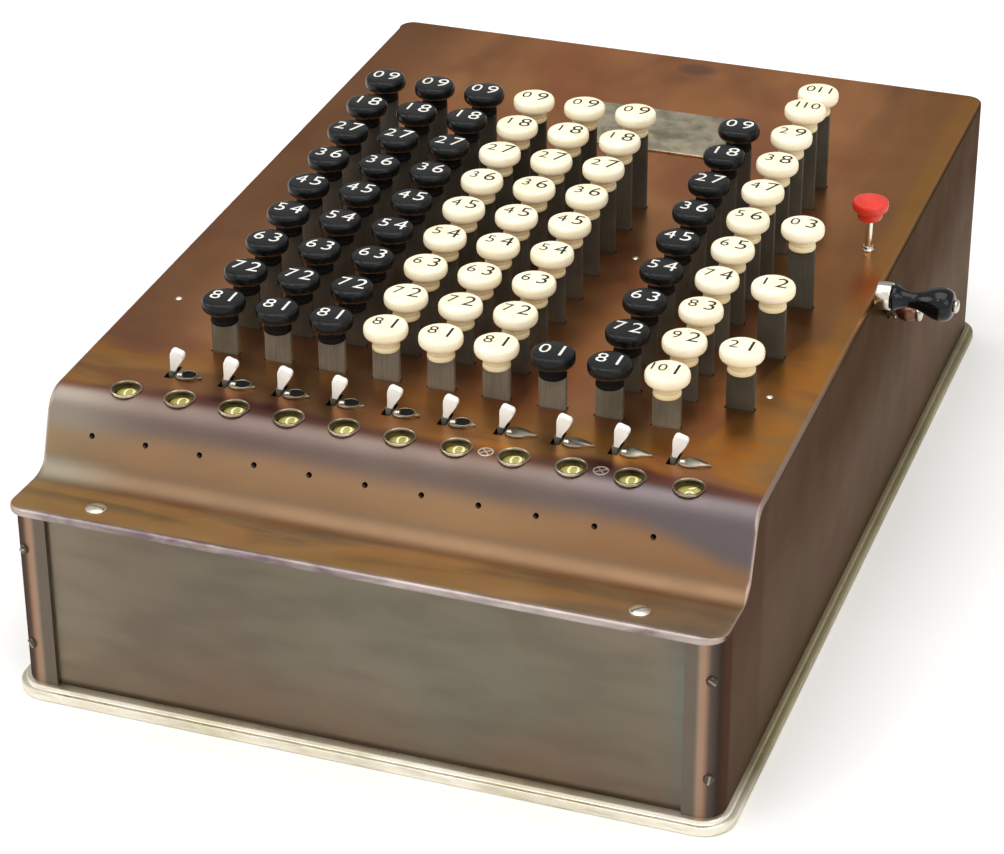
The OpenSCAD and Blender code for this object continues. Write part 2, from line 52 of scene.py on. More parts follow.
# Sizes in metres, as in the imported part
LIP_OUT = 4 * MM
LIP_T = 2.4 * MM
LIP_H = 70 * MM
CREST_Y = 34.4 * MM
FOOT_Y = 25 * MM
FOOT_H = 68 * MM
CURVE_R = 9 * MM
REAR_R = 4 * MM
NOSE_R = 1.2 * MM
WALL = 1.6 * MM
CORNER_R = 8 * MM
EDGE_R = 2.2 * MM
FLANGE_W = 13 * MM
RIM_OUT = 3.5 * MM
DECK_TILT = math.radians(1.0)
CAP_R = 7.5 * MM
STEM_W = 9.5 * MM
STEM_T = 2 * MM
STEM_GAP = 0.4 * MM
LAST_ROW = 11
LAST_DROP = 4 * MM
DIAL_Y = 41.4 * MM
WINDOW_R = 4.8 * MM
POINTER_R = 1 * MM
POINTER_H = 81.6 * MM
POINTER_DX = -7.9 * MM
CUTOFF_Y = 57.2 * MM
CUTOFF_DROP = 7 * MM
CUTOFF_SLOT = (3.2 * MM, 8.3 * MM)
RELEASE_HOLE_R = 1.8 * MM
CRANK_HOLE_R = 3.7 * MM
PLATE_FORE = 1.4 * MM
PLATE_T = 0.8 * MM
LIP_SCREW = (93 * MM, 5.7 * MM)
SCREW_R = 2.2 * MM
LIP_SCREW_R = 3.5 * MM
FLANGE_SCREW_TURN = math.radians(26)
FLANGE_SCREW_H = (15 * MM, 52 * MM)
OVAL_AT = (7.7 * MM, 351 * MM)
OVAL_SIZE = (8 * MM, 5.5 * MM)
FLUSH_SCREWS = ((29.4 * MM, 41.8 * MM), (68.0 * MM, 42.5 * MM))
RIVETS = ((-108 * MM, 106 * MM), (34 * MM, 186 * MM), (106 * MM, 105 * MM))
# Heights between which the openings of the deck are cut
CUT_LOW = 0.075
CUT_HIGH = 0.12


def box_of(node):
    low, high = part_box(node)
    return Vector(low), Vector(high)


COVER_LOW, COVER_HIGH = box_of("top_cover")
HALF_W = COVER_HIGH.x
FIRST_LOW, FIRST_HIGH = box_of("key_column_1")
FIRST_Y = FIRST_LOW.y + CAP_R
PANEL_Y = COVER_LOW.y + LIP_OUT
REAR_Y = COVER_HIGH.y
CASE_D = REAR_Y - PANEL_Y
BASE_Z = COVER_LOW.z
REAR_Z = COVER_HIGH.z
LIP_TOP = BASE_Z + LIP_H
LIP_UNDER = LIP_TOP - LIP_T


def deck_z(y):
    """Height of the deck at a distance y behind the front panel."""
    return REAR_Z - (CASE_D - y) * math.tan(DECK_TILT)


def on_deck(x, y):
    """Frame of a piece that stands on the deck, tilted with it."""
    place = Matrix.Translation((x, PANEL_Y + y, deck_z(y)))
    return place @ Matrix.Rotation(DECK_TILT, 4, "X")


def along_x(place):
    """Frame whose own z axis points along x."""
    return Matrix.Translation(place) @ Matrix.Rotation(math.pi / 2, 4, "Y")


# Mesh helpers


def mm(points):
    """A list of points given in millimetres, in metres."""
    return [(a * MM, b * MM) for a, b in points]


def mirrored(side):
    """Closed outline from the points of one side, given as (x, y)."""
    return side + [(-x, y) for x, y in reversed(side)]


def middle_of(node):
    low, high = box_of(node)
    return (low + high) / 2


def new_piece(name, bm, materials, angle=32):
    """Turns a bmesh into a smooth-shaded object with sharp edges kept."""
    bmesh.ops.recalc_face_normals(bm, faces=bm.faces)
    mesh = bpy.data.meshes.new(name)
    bm.to_mesh(mesh)
    bm.free()
    for mat in materials:
        mesh.materials.append(mat)
    mesh.shade_smooth()
    mesh.set_sharp_from_angle(angle=math.radians(angle))
    piece = bpy.data.objects.new(name, mesh)
    bpy.context.scene.collection.objects.link(piece)
    return piece


def attach(piece, body, slot, *stands_for):
    """Rides a piece on its body and hides the nodes it stands for; the slot is not used."""
    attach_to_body(piece, body)
    if stands_for:
        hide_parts(*stands_for)


def turned_rings(bm, profile, place, steps):
    """Rings of vertices of (radius, height) points about the frame's z axis."""
    rings = []
    for radius, height in profile:
        if radius < 1e-7:
            rings.append([bm.verts.new(place @ Vector((0, 0, height)))])
            continue
        ring = []
        for i in range(steps):
            a = 2 * math.pi * i / steps
            ring.append(bm.verts.new(place @ Vector((radius * math.cos(a), radius * math.sin(a), height))))
        rings.append(ring)
    return rings


def lathe(bm, profile, place, steps, mat=0):
    """Turns an open profile of (radius, height) points and closes its ends."""
    rings = turned_rings(bm, profile, place, steps)
    faces = []
    for one, two in zip(rings, rings[1:]):
        for i in range(steps):
            j = (i + 1) % steps
            if len(one) == 1:
                corners = (one[0], two[j], two[i])
            elif len(two) == 1:
                corners = (one[i], one[j], two[0])
            else:
                corners = (one[i], one[j], two[j], two[i])
            faces.append(bm.faces.new(corners))
    for ring in (rings[0], rings[-1]):
        if len(ring) > 1:
            faces.append(bm.faces.new(ring))
    for face in faces:
        face.material_index = mat


def hollow_ring(bm, profile, place, steps, mat=0):
    """Turns a closed profile of (radius, height) points."""
    rings = turned_rings(bm, profile, place, steps)
    for one, two in zip(rings, rings[1:] + rings[:1]):
        for i in range(steps):
            j = (i + 1) % steps
            bm.faces.new((one[i], one[j], two[j], two[i])).material_index = mat


def prism(bm, outline, low, high, place, bevel=0.0, mat=0, segments=2):
    """Extrudes an outline of (x, y) points from low to high; bevel rounds its two rims."""
    bottom = [bm.verts.new(place @ Vector((x, y, low))) for x, y in outline]
    top = [bm.verts.new(place @ Vector((x, y, high))) for x, y in outline]
    faces = [bm.faces.new(bottom[::-1]), bm.faces.new(top)]
    for i in range(len(outline)):
        j = (i + 1) % len(outline)
        faces.append(bm.faces.new((bottom[i], bottom[j], top[j], top[i])))
    for face in faces:
        face.material_index = mat
    if bevel:
        edges = {e for f in faces[:2] for e in f.edges}
        made = bmesh.ops.bevel(
            bm, geom=list(edges), offset=bevel, segments=segments, affect="EDGES", profile=0.5,
            clamp_overlap=True
        )
        for face in made["faces"]:
            face.material_index = mat


def oblong(width, depth, radius, steps):
    """Rounded rectangle about the origin."""
    points = []
    for k, (sx, sy) in enumerate(((1, 1), (-1, 1), (-1, -1), (1, -1))):
        for i in range(steps + 1):
            a = math.pi / 2 * (k + i / steps)
            x = sx * (width / 2 - radius) + radius * math.cos(a)
            y = sy * (depth / 2 - radius) + radius * math.sin(a)
            points.append((x, y))
    return points


def rectangle(width, depth):
    """Plain rectangle about the origin."""
    return [(sx * width / 2, sy * depth / 2) for sx, sy in ((-1, -1), (1, -1), (1, 1), (-1, 1))]


GLYPHS = {}


def glyph(text):
    """Flat mesh of a number, one unit high and centred on the origin."""
    if text not in GLYPHS:
        curve = bpy.data.curves.new("glyph", "FONT")
        curve.body = text
        curve.size = 1.0
        curve.offset = -0.004
        curve.resolution_u = 4
        holder = bpy.data.objects.new("glyph", curve)
        bpy.context.scene.collection.objects.link(holder)
        bpy.context.view_layer.update()
        shape = holder.evaluated_get(bpy.context.evaluated_depsgraph_get())
        mesh = bpy.data.meshes.new_from_object(shape)
        bpy.data.objects.remove(holder)
        bpy.data.curves.remove(curve)
        xs = [v.co.x for v in mesh.vertices]
        ys = [v.co.y for v in mesh.vertices]
        tall = max(ys) - min(ys)
        middle = Vector(((max(xs) + min(xs)) / 2, (max(ys) + min(ys)) / 2, 0))
        for v in mesh.vertices:
            v.co = (v.co - middle) / tall
        GLYPHS[text] = mesh
    return GLYPHS[text]


def write(bm, text, place, height, mat, wrap=0.0):
    """Adds a number to a bmesh; wrap is the radius of the wheel that it lies on."""
    count = len(bm.verts)
    faces = len(bm.faces)
    bm.from_mesh(glyph(text))
    bm.verts.ensure_lookup_table()
    bm.faces.ensure_lookup_table()
    for v in bm.verts[count:]:
        flat = v.co * height
        if wrap:
            a = flat.y / wrap
            flat = Vector((flat.x, wrap * math.sin(a), wrap * math.cos(a)))
        v.co = place @ flat
    for f in bm.faces[faces:]:
        f.material_index = mat


def boolean(target, cutter, operation):
    """Applies one exact Boolean to target and removes the cutter."""
    mod = target.modifiers.new("cut", "BOOLEAN")
    mod.operation = operation
    mod.object = cutter
    mod.solver = "EXACT"
    bpy.context.view_layer.update()
    shape = target.evaluated_get(bpy.context.evaluated_depsgraph_get())
    mesh = bpy.data.meshes.new_from_object(shape)
    target.modifiers.remove(mod)
    old = target.data
    target.data = mesh
    bpy.data.meshes.remove(old)
    bpy.data.objects.remove(cutter)


# Materials


class Shader:
    """A node material with a Principled shader and short calls for its textures."""

    def __init__(self, name, **constants):
        self.mat = bpy.data.materials.new(name)
        self.mat.use_nodes = True
        self.tree = self.mat.node_tree
        self.bsdf = self.tree.nodes["Principled BSDF"]
        for key, value in constants.items():
            self.bsdf.inputs[key.replace("_", " ")].default_value = value
        self.place = self.tree.nodes.new("ShaderNodeTexCoord")

    def node(self, kind, links, **props):
        made = self.tree.nodes.new("ShaderNode" + kind)
        for key, value in props.items():
            setattr(made, key, value)
        for key, value in links.items():
            if isinstance(value, bpy.types.NodeSocket):
                self.tree.links.new(value, made.inputs[key])
            else:
                made.inputs[key].default_value = value
        return made

    def point(self, scale):
        return self.node("Mapping", {"Vector": self.place.outputs["Object"], "Scale": scale}).outputs[0]

    def noise(self, scale, detail=3.0, stretch=(1, 1, 1), distortion=0.0):
        links = {"Vector": self.point(stretch), "Scale": scale, "Detail": detail, "Distortion": distortion}
        return self.node("TexNoise", links).outputs["Fac"]

    def axis(self, name):
        return self.node("SeparateXYZ", {"Vector": self.place.outputs["Object"]}).outputs[name]

    def normal(self, name):
        return self.node("SeparateXYZ", {"Vector": self.place.outputs["Normal"]}).outputs[name]

    def span(self, value, low, high, to_low=0.0, to_high=1.0):
        links = {"Value": value, "From Min": low, "From Max": high, "To Min": to_low, "To Max": to_high}
        return self.node("MapRange", links, interpolation_type="SMOOTHSTEP").outputs[0]

    def math(self, operation, one, two):
        return self.node("Math", {0: one, 1: two}, operation=operation).outputs[0]

    def ramp(self, value, stops):
        made = self.node("ValToRGB", {"Fac": value})
        band = made.color_ramp
        while len(band.elements) < len(stops):
            band.elements.new(0.5)
        for element, (at, colour) in zip(band.elements, stops):
            element.position = at
            element.color = (*colour, 1.0)
        return made.outputs["Color"]

    def mix(self, factor, one, two):
        made = self.node("Mix", {"Factor": factor}, data_type="RGBA")
        for index, value in ((6, one), (7, two)):
            if isinstance(value, bpy.types.NodeSocket):
                self.tree.links.new(value, made.inputs[index])
            else:
                made.inputs[index].default_value = (*value, 1.0)
        return made.outputs[2]

    def feed(self, value, socket):
        self.tree.links.new(value, self.bsdf.inputs[socket])

    def colour(self, value):
        self.feed(value, "Base Color")

    def rough(self, value, low, high):
        self.feed(self.span(value, 0.3, 0.7, low, high), "Roughness")

    def bump(self, value, strength, distance):
        links = {"Height": value, "Strength": strength, "Distance": distance}
        self.feed(self.node("Bump", links).outputs[0], "Normal")


def srgb(text):
    """Linear colour of a hexadecimal screen colour."""
    parts = [int(text[i:i + 2], 16) / 255 for i in (0, 2, 4)]
    return tuple(c / 12.92 if c <= 0.04045 else ((c + 0.055) / 1.055) ** 2.4 for c in parts)


def cover_material():
    """Brown heat-coloured sheet: amber and wine patches, lilac on the curve, umber walls."""
    s = Shader("tempered_sheet", Metallic=1.0)
    x = s.axis("X")
    y = s.axis("Y")
    z = s.axis("Z")
    drift = s.noise(13, 3, (1, 1, 1), 0.5)
    fine = s.noise(60, 2)
    # Deck: streaks along the machine, with redder and darker clouds and dull edges
    streak = s.noise(15, 4, (1.6, 0.5, 1), 0.5)
    deck = s.ramp(streak, [
        (0.28, srgb("a07658")), (0.44, srgb("c48e64")), (0.58, srgb("ce9468")), (0.74, srgb("c4905a"))
    ])
    deck = s.mix(s.span(drift, 0.42, 0.66, 0.0, 0.6), deck, srgb("ac7054"))
    bruise = s.span(s.noise(17, 3, (1, 0.8, 1), 0.3), 0.52, 0.68, 0.0, 0.4)
    deck = s.mix(bruise, deck, srgb("825e50"))
    left = s.span(x, -HALF_W + 46 * MM, -HALF_W + 12 * MM)
    deck = s.mix(s.math("MULTIPLY", left, 0.7), deck, srgb("82624c"))
    right = s.span(x, HALF_W - 40 * MM, HALF_W - 14 * MM)
    deck = s.mix(s.math("MULTIPLY", right, 0.6), deck, srgb("906a46"))
    margin = s.span(x, HALF_W - 11 * MM, HALF_W - 5 * MM, 0.0, 0.55)
    deck = s.mix(margin, deck, srgb("b88848"))
    # Amber smears between the keys and the windows, and along the right edge
    amber = s.ramp(s.noise(24, 3, (0.6, 1.8, 1), 0.5), [
        (0.34, srgb("a07450")), (0.45, srgb("b88c58")), (0.55, srgb("cc8c44")), (0.64, srgb("b48058"))
    ])
    bent = s.math("ADD", y, s.math("MULTIPLY", drift, 26 * MM))
    corner = s.math("MULTIPLY", s.span(x, HALF_W - 30 * MM, HALF_W - 14 * MM), 70 * MM)
    reach = s.math("SUBTRACT", bent, corner)
    deck = s.mix(s.span(reach, PANEL_Y + 92 * MM, PANEL_Y + 76 * MM, 0.0, 0.85), deck, amber)
    # Plain dark oval on the rear deck
    oval_x = s.math("DIVIDE", s.math("SUBTRACT", x, OVAL_AT[0]), OVAL_SIZE[0])
    oval_y = s.math("DIVIDE", s.math("SUBTRACT", y, PANEL_Y + OVAL_AT[1]), OVAL_SIZE[1])
    oval = s.math("ADD", s.math("MULTIPLY", oval_x, oval_x), s.math("MULTIPLY", oval_y, oval_y))
    deck = s.mix(s.span(oval, 1.5, 0.3, 0.0, 0.55), deck, srgb("6a6462"))
    # Wine band, lilac crest and tan face of the curved front
    wine = s.ramp(drift, [(0.35, srgb("704843")), (0.5, srgb("7a524a")), (0.65, srgb("7e5c4c"))])
    top = s.mix(s.span(bent, PANEL_Y + 63 * MM, PANEL_Y + 57 * MM), deck, wine)
    # Painted highlight towards the left end: silvery on the crest and on the foot of the curve; the same
    # mask also greens the face there
    left_highlight_and_tint = s.span(x, -HALF_W + 40 * MM, -HALF_W + 4 * MM)
    lilac = s.ramp(s.noise(12, 3, (1, 1, 1), 0.4), [
        (0.35, srgb("705f5a")), (0.5, srgb("7a6a62")), (0.65, srgb("706056"))
    ])
    lilac = s.mix(s.span(x, 20 * MM, 100 * MM), lilac, srgb("6c6262"))
    lilac = s.mix(s.math("MULTIPLY", left_highlight_and_tint, 0.7), lilac, srgb("a0968a"))
    crest = s.math("ADD", y, s.math("MULTIPLY", drift, 10 * MM))
    top = s.mix(s.span(crest, PANEL_Y + 47.5 * MM, PANEL_Y + 42.5 * MM), top, lilac)
    face = s.ramp(s.noise(14, 4, (0.5, 1, 2), 0.5), [
        (0.32, srgb("96785c")), (0.5, srgb("a88662")), (0.66, srgb("aa7e58"))
    ])
    face = s.mix(s.math("MULTIPLY", left_highlight_and_tint, 0.5), face, srgb("847a62"))
    face = s.mix(s.span(x, 10 * MM, 90 * MM, 0.0, 0.7), face, srgb("916c4e"))
    dip = s.span(x, 80 * MM, 124 * MM, 0.0, 8 * MM)
    level = s.math("ADD", s.math("ADD", z, dip), s.math("MULTIPLY", drift, 7 * MM))
    top = s.mix(s.span(level, BASE_Z + 91.5 * MM, BASE_Z + 83.5 * MM), top, face)
    # Foot of the curve: brown, with a painted silvery highlight towards the left end
    foot = s.mix(left_highlight_and_tint, srgb("765f49"), srgb("8a8374"))
    top = s.mix(s.span(z, BASE_Z + 75 * MM, BASE_Z + 71.5 * MM, 0.0, 0.8), top, foot)
    # Gold and olive smears on the lip, pale lilac along its edge
    lip = s.ramp(s.noise(24, 3, (0.35, 1.6, 1), 0.9), [
        (0.3, srgb("7e7058")), (0.42, srgb("a68658")), (0.56, srgb("b08c60")), (0.68, srgb("887a62"))
    ])
    lip = s.mix(s.span(x, 60 * MM, 116 * MM, 0.0, 0.75), lip, srgb("8a7a64"))
    top = s.mix(s.span(y, PANEL_Y + 21 * MM, PANEL_Y + 14 * MM), top, lip)
    hem = s.ramp(s.noise(90, 4, (0.4, 1, 1), 0.6), [(0.38, srgb("78686a")), (0.6, srgb("b4a8a2"))])
    top = s.mix(s.span(y, PANEL_Y - 1.2 * MM, PANEL_Y - 3 * MM), top, hem)
    # Walls, and the corner flanges beside the front panel
    wall = s.ramp(s.noise(9, 3, (1, 1, 0.6), 0.4), [
        (0.35, srgb("56493a")), (0.5, srgb("5a4c3d")), (0.65, srgb("604c3f"))
    ])
    high_up = s.span(z, 35 * MM, 85 * MM)
    upper = s.math("MULTIPLY", high_up, s.span(y, PANEL_Y + 20 * MM, PANEL_Y + 180 * MM, 0.5, 1.0))
    wall = s.mix(upper, wall, srgb("443629"))
    across = s.math("ABSOLUTE", s.normal("X"), 0.0)
    # Flange colour follows its facing: paler where it faces the front, dark where it turns to the side, a
    # painted highlight and shade
    flange = s.ramp(across, [
        (0.0, srgb("98806f")), (0.2, srgb("9a7a64")), (0.42, srgb("564c46")), (0.75, srgb("3a302a")),
        (0.93, srgb("503a2e"))
    ])
    # The flat inner strip of a flange has the colour of the panel beside it
    inward = s.span(s.math("ABSOLUTE", x, 0.0), HALF_W - 7.5 * MM, HALF_W - 9.5 * MM)
    flange = s.mix(inward, flange, srgb("685f54"))
    below = s.span(z, LIP_UNDER + 0.6 * MM, LIP_UNDER - 0.6 * MM)
    ahead = s.span(y, PANEL_Y + CORNER_R + 1 * MM, PANEL_Y + CORNER_R - 1 * MM)
    upright = s.span(across, 0.6, 0.92)
    shell = s.mix(upright, top, wall)
    # Painted highlight on the rounded edge between the deck and the walls, towards the front
    edge_highlight = s.math("MULTIPLY", s.span(across, 0.2, 0.45), s.span(across, 0.97, 0.8))
    edge_highlight = s.math("MULTIPLY", edge_highlight, s.span(y, PANEL_Y + 190 * MM, PANEL_Y + 40 * MM, 0.1, 0.8))
    shell = s.mix(edge_highlight, shell, srgb("b8a49a"))
    rear = s.span(s.normal("Y"), 0.6, 0.9)
    shell = s.mix(rear, shell, wall)
    s.colour(s.mix(s.math("MULTIPLY", below, ahead), shell, flange))
    curved = s.span(y, PANEL_Y + 46 * MM, PANEL_Y + 39 * MM, 0.0, 0.18)
    dulled = s.math("MULTIPLY", upright, 0.12)
    gloss = s.math("ADD", s.span(fine, 0.3, 0.7, 0.28, 0.34), s.math("ADD", curved, dulled))
    s.feed(gloss, "Roughness")
    s.bump(s.noise(35, 2), 0.03, 0.4 * MM)
    # Grazing reflections stay dark on the walls, most of all high up at the rear
    tint = s.mix(upright, (0.62, 0.5, 0.46), (0.66, 0.57, 0.52))
    tint = s.mix(s.math("MULTIPLY", upper, upright), tint, (0.49, 0.42, 0.38))
    s.feed(tint, "Specular Tint")
    return s.mat


def rim_material():
    """Nickel of the base: bright along the front, darkened with painted shade to dull olive along the sides.
    """
    s = Shader("rim_nickel", Metallic=1.0, Specular_Tint=(0.86, 0.84, 0.78, 1.0))
    cloud = s.noise(22, 4, (1, 1, 1), 0.3)
    scuff = s.noise(240, 4, (0.3, 0.3, 2))
    # Lit and shaded copies of one nickel: the darker olive copy paints shade on the sides and further back
    bright = s.ramp(cloud, [(0.34, srgb("d4ccb0")), (0.6, srgb("f0eadb"))])
    dull = s.ramp(cloud, [(0.34, srgb("8c8264")), (0.6, srgb("aca080"))])
    aside = s.span(s.math("ABSOLUTE", s.axis("X"), 0.0), HALF_W - 3 * MM, HALF_W - 0.5 * MM)
    back = s.span(s.axis("Y"), PANEL_Y + 4 * MM, PANEL_Y + 40 * MM)
    shade = s.mix(s.math("MULTIPLY", aside, back), bright, dull)
    s.colour(s.mix(s.span(scuff, 0.45, 0.75, 0.0, 0.35), shade, srgb("8a8064")))
    s.rough(scuff, 0.24, 0.4)
    s.bump(scuff, 0.05, 0.2 * MM)
    return s.mat


def panel_material():
    """Dull sheet of the front panel: grey-green clouds over brown, with a painted shadow along its foot."""
    s = Shader("panel_sheet", Metallic=1.0)
    x = s.axis("X")
    z = s.axis("Z")
    lines = s.noise(110, 3, (0.3, 1, 1))
    drift = s.noise(16, 3, (1, 1, 1), 0.4)
    shade = s.ramp(s.noise(9, 3, (1, 1, 1), 0.3), [
        (0.34, srgb("6c6255")), (0.5, srgb("6e6759")), (0.64, srgb("776b5e"))
    ])
    warm = s.math("ADD", z, s.math("MULTIPLY", drift, 50 * MM))
    shade = s.mix(s.span(warm, 66 * MM, 34 * MM, 0.0, 0.6), shade, srgb("75604f"))
    shade = s.mix(s.span(drift, 0.46, 0.7, 0.0, 0.4), shade, srgb("68685a"))
    shade = s.mix(s.span(x, -60 * MM, -HALF_W, 0.0, 0.6), shade, srgb("827564"))
    shade = s.mix(s.span(x, HALF_W - 22 * MM, HALF_W - 12 * MM, 0.0, 0.5), shade, srgb("5c665e"))
    # Painted shadow along the foot of the panel, where it meets the rim
    shade = s.mix(s.span(z, BASE_Z + 3 * MM, BASE_Z + 0.5 * MM, 0.0, 0.8), shade, srgb("33291f"))
    s.colour(s.mix(s.span(lines, 0.4, 0.75, 0.0, 0.25), shade, srgb("5c5348")))
    s.rough(lines, 0.36, 0.5)
    s.bump(lines, 0.03, 0.2 * MM)
    return s.mat


def stem_material():
    """Grey oxidised steel of the key stems, drawn along their length, darkened by painted shade behind the
    front row.
    """
    s = Shader("stem_steel", Metallic=0.35, IOR=1.4)
    lines = s.noise(700, 4, (5, 5, 0.12))
    cloud = s.noise(60, 3)
    shade = s.ramp(cloud, [(0.34, srgb("5f5c50")), (0.62, srgb("7e7a6c"))])
    shade = s.mix(s.span(lines, 0.4, 0.7, 0.0, 0.4), shade, srgb("4c4a42"))
    # Painted shade: the stems behind the front row are darkened
    shade_behind_front_row = s.span(s.axis("Y"), FIRST_Y + 6 * MM, FIRST_Y + 12 * MM, 0.0, 0.62)
    s.colour(s.mix(shade_behind_front_row, shade, srgb("26251f")))
    s.rough(lines, 0.42, 0.6)
    s.bump(lines, 0.08, 0.2 * MM)
    return s.mat


def metal(name, light, dark, scale, low, high, stretch=(1, 1, 1), grain=0.04):
    """Plain worked metal with cloudy colour, uneven gloss and a fine grain."""
    s = Shader(name, Metallic=1.0)
    cloud = s.noise(scale, 4, (1, 1, 1), 0.3)
    lines = s.noise(scale * 12, 4, stretch)
    shade = s.ramp(cloud, [(0.32, srgb(dark)), (0.62, srgb(light))])
    s.colour(s.mix(s.span(lines, 0.35, 0.75, 0.0, 0.3), shade, srgb(dark)))
    s.rough(lines, low, high)
    s.bump(lines, grain, 0.2 * MM)
    return s.mat


def moulded(name, light, dark, gloss, scale=90, mottled=0.3, grain=0.05, ior=1.5):
    """Moulded or turned plastic, faintly mottled, with a worn skin."""
    s = Shader(name, Metallic=0.0, IOR=ior)
    cloud = s.noise(scale, 4, (1, 1, 1), 0.5)
    tone = s.ramp(cloud, [(0.5 - mottled, srgb(dark)), (0.5 + mottled, srgb(light))])
    s.colour(tone)
    s.rough(s.noise(scale * 4, 3), gloss, gloss + 0.16)
    s.bump(s.noise(scale * 6, 3), grain, 0.15 * MM)
    return s.mat


cover_mat = cover_material()
panel_mat = panel_material()
plated_mat = metal("worn_nickel", "cfc8b2", "958b70", 22, 0.2, 0.38)
bright_mat = metal("bright_nickel", "e6e2d6", "bdb6a6", 40, 0.12, 0.26)
dark_mat = metal("dull_screw", "5f554c", "3a332d", 60, 0.3, 0.5)
brown_mat = metal("brown_lever", "8a6552", "6b4c3e", 40, 0.28, 0.42)
steel_mat = stem_material()
rim_mat = rim_material()
inner_mat = metal("inner_steel", "6f6b64", "46423c", 40, 0.4, 0.6)
# Olive sleeve inside the windows: its dark colour is painted shade standing in for the shaded top of each
# wheel
sleeve_shade_mat = metal("olive_sleeve_shade", "746850", "484232", 60, 0.3, 0.45)
silver_mat = metal("satin_plate", "cabfa4", "8c8470", 140, 0.3, 0.5, (1, 1, 1), 0.3)
bead_mat = metal("window_bead", "c2b39a", "86735e", 60, 0.22, 0.38)
screw_mat = metal("screw_nickel", "eeebe0", "c6c0b0", 60, 0.3, 0.45)
leaf_mat = metal("leaf_nickel", "9c9686", "6e675a", 60, 0.32, 0.5)
ivory_mat = moulded("ivory_cap", "f6eed6", "eadcb6", 0.34)
black_mat = moulded("black_cap", "141616", "090a0a", 0.18, 90, 0.3, 0.04, 1.3)
black_neck_mat = moulded("black_neck", "141514", "0a0a0a", 0.6, 90, 0.3, 0.05, 1.2)
ivory_neck_mat = moulded("ivory_neck", "ecdfb8", "dcc998", 0.42)
red_mat = moulded("red_cap", "dc3620", "bb2416", 0.3)
white_mat = moulded("white_paddle", "f6f4ee", "dedbd2", 0.28)
knob_mat = moulded("polished_black", "0b0c10", "050506", 0.05, 60, 0.3, 0.01, 1.36)
wheel_mat = moulded("olive_wheel", "b8ad5c", "8a8540", 0.35)
ink_mat = moulded("dark_ink", "2a2824", "181613", 0.6, 90, 0.3, 0.05, 1.25)
paint_mat = moulded("white_ink", "f0eee6", "cfcac0", 0.5)
cream_mat = moulded("cream_ink", "fbf4c4", "e6da94", 0.4)


# Cover: side outline lofted across the case, hollowed and cut


def arc(a, b, c, radius, steps=12):
    """Points that round corner b between a and c."""
    u = (Vector(a) - Vector(b)).normalized()
    v = (Vector(c) - Vector(b)).normalized()
    half = u.angle(v) / 2
    centre = Vector(b) + (u + v).normalized() * radius / math.sin(half)
    start = Vector(b) + u * radius / math.tan(half) - centre
    sweep = (Vector(b) + v * radius / math.tan(half) - centre).angle_signed(start)
    turn = [Matrix.Rotation(sweep * i / steps, 2) for i in range(steps + 1)]
    return [tuple(centre + m @ start) for m in turn]


def top_chain():
    """Outer side outline from the lip's nose over the curve and the deck to the rear."""
    nose = (-LIP_OUT, LIP_TOP)
    foot = (FOOT_Y, BASE_Z + FOOT_H)
    crest = (CREST_Y, deck_z(CREST_Y))
    rear = (CASE_D, REAR_Z)
    chain = arc((-LIP_OUT, LIP_UNDER), nose, foot, NOSE_R, 5)
    chain += [(CORNER_R - LIP_OUT, LIP_TOP + (FOOT_H - LIP_H) * CORNER_R / (FOOT_Y + LIP_OUT))]
    chain += arc(nose, foot, crest, CURVE_R)
    chain += arc(foot, crest, rear, CURVE_R)
    chain += [(CASE_D - CORNER_R, deck_z(CASE_D - CORNER_R))]
    chain += arc(crest, rear, (CASE_D, BASE_Z), REAR_R, 6)
    return chain


def moved_in(chain, t):
    """An open outline moved inwards by t."""
    out = []
    for i, (y, z) in enumerate(chain):
        a = Vector(chain[max(i - 1, 0)])
        b = Vector(chain[min(i + 1, len(chain) - 1)])
        along = (b - a).normalized()
        out.append((y + along.y * t, z - along.x * t))
    return out


# Share of the lip's thickness that its rounded side edges take up, at its nose and behind it
NOSE_LIFT = 0.58
LIP_LIFT = 0.45


def loft(name, outline, half, front, rear, corner, edge, steps=6):
    """Solid across x from a closed side outline, with rounded corners and deck edges."""
    bm = bmesh.new()
    lines = []
    for y, z in outline:
        ahead = min(max((front + corner - y) / corner, 0), 1)
        behind = min(max((y - rear + corner) / corner, 0), 1)
        end = max(ahead, behind)
        lift = edge * (1 - behind) if y < rear else 0
        share = NOSE_LIFT if ahead else LIP_LIFT
        lift = min(lift, max(0.0, (z - LIP_UNDER) * share))
        round_x = edge + (corner - edge) * end
        shift = corner * (ahead - behind)
        if z < LIP_UNDER + 1e-5 and y < rear / 2:
            shift = corner
            round_x = corner
        line = []
        for side in (-1, 1):
            for k in range(steps + 1):
                a = math.pi / 2 * (k if side > 0 else steps - k) / steps
                x = side * (half - round_x * (1 - math.sin(a)))
                c = 1 - math.cos(a)
                line.append(bm.verts.new((x, PANEL_Y + y + shift * c, z - lift * c)))
        lines.append(line)
    for one, two in zip(lines, lines[1:] + lines[:1]):
        for k in range(len(one) - 1):
            bm.faces.new((one[k], one[k + 1], two[k + 1], two[k]))
    bm.faces.new([line[0] for line in lines])
    bm.faces.new([line[-1] for line in lines][::-1])
    bmesh.ops.remove_doubles(bm, verts=bm.verts, dist=0.01 * MM)
    return new_piece(name, bm, [])


def key_rows(c):
    return ROWS.get(c, list(range(1, 10)))


SINGLE_TOP = box_of("key_column_7")[1].z
ROW_PITCH = (FIRST_HIGH.y - FIRST_LOW.y - 2 * CAP_R) / 8
ROW_RISE = (FIRST_HIGH.z - SINGLE_TOP) / 8


def key_place(c, r):
    """Centre of a key's top."""
    z = SINGLE_TOP + (r - 1) * ROW_RISE - (LAST_DROP if r == LAST_ROW else 0)
    return Vector((middle_of(f"key_column_{c}").x, FIRST_Y + (r - 1) * ROW_PITCH, z))


def wheel_x(w):
    return middle_of(f"numeral_wheel_{w}").x


def cutoff_x(c):
    return middle_of(f"cutoff_lever_{c}").x


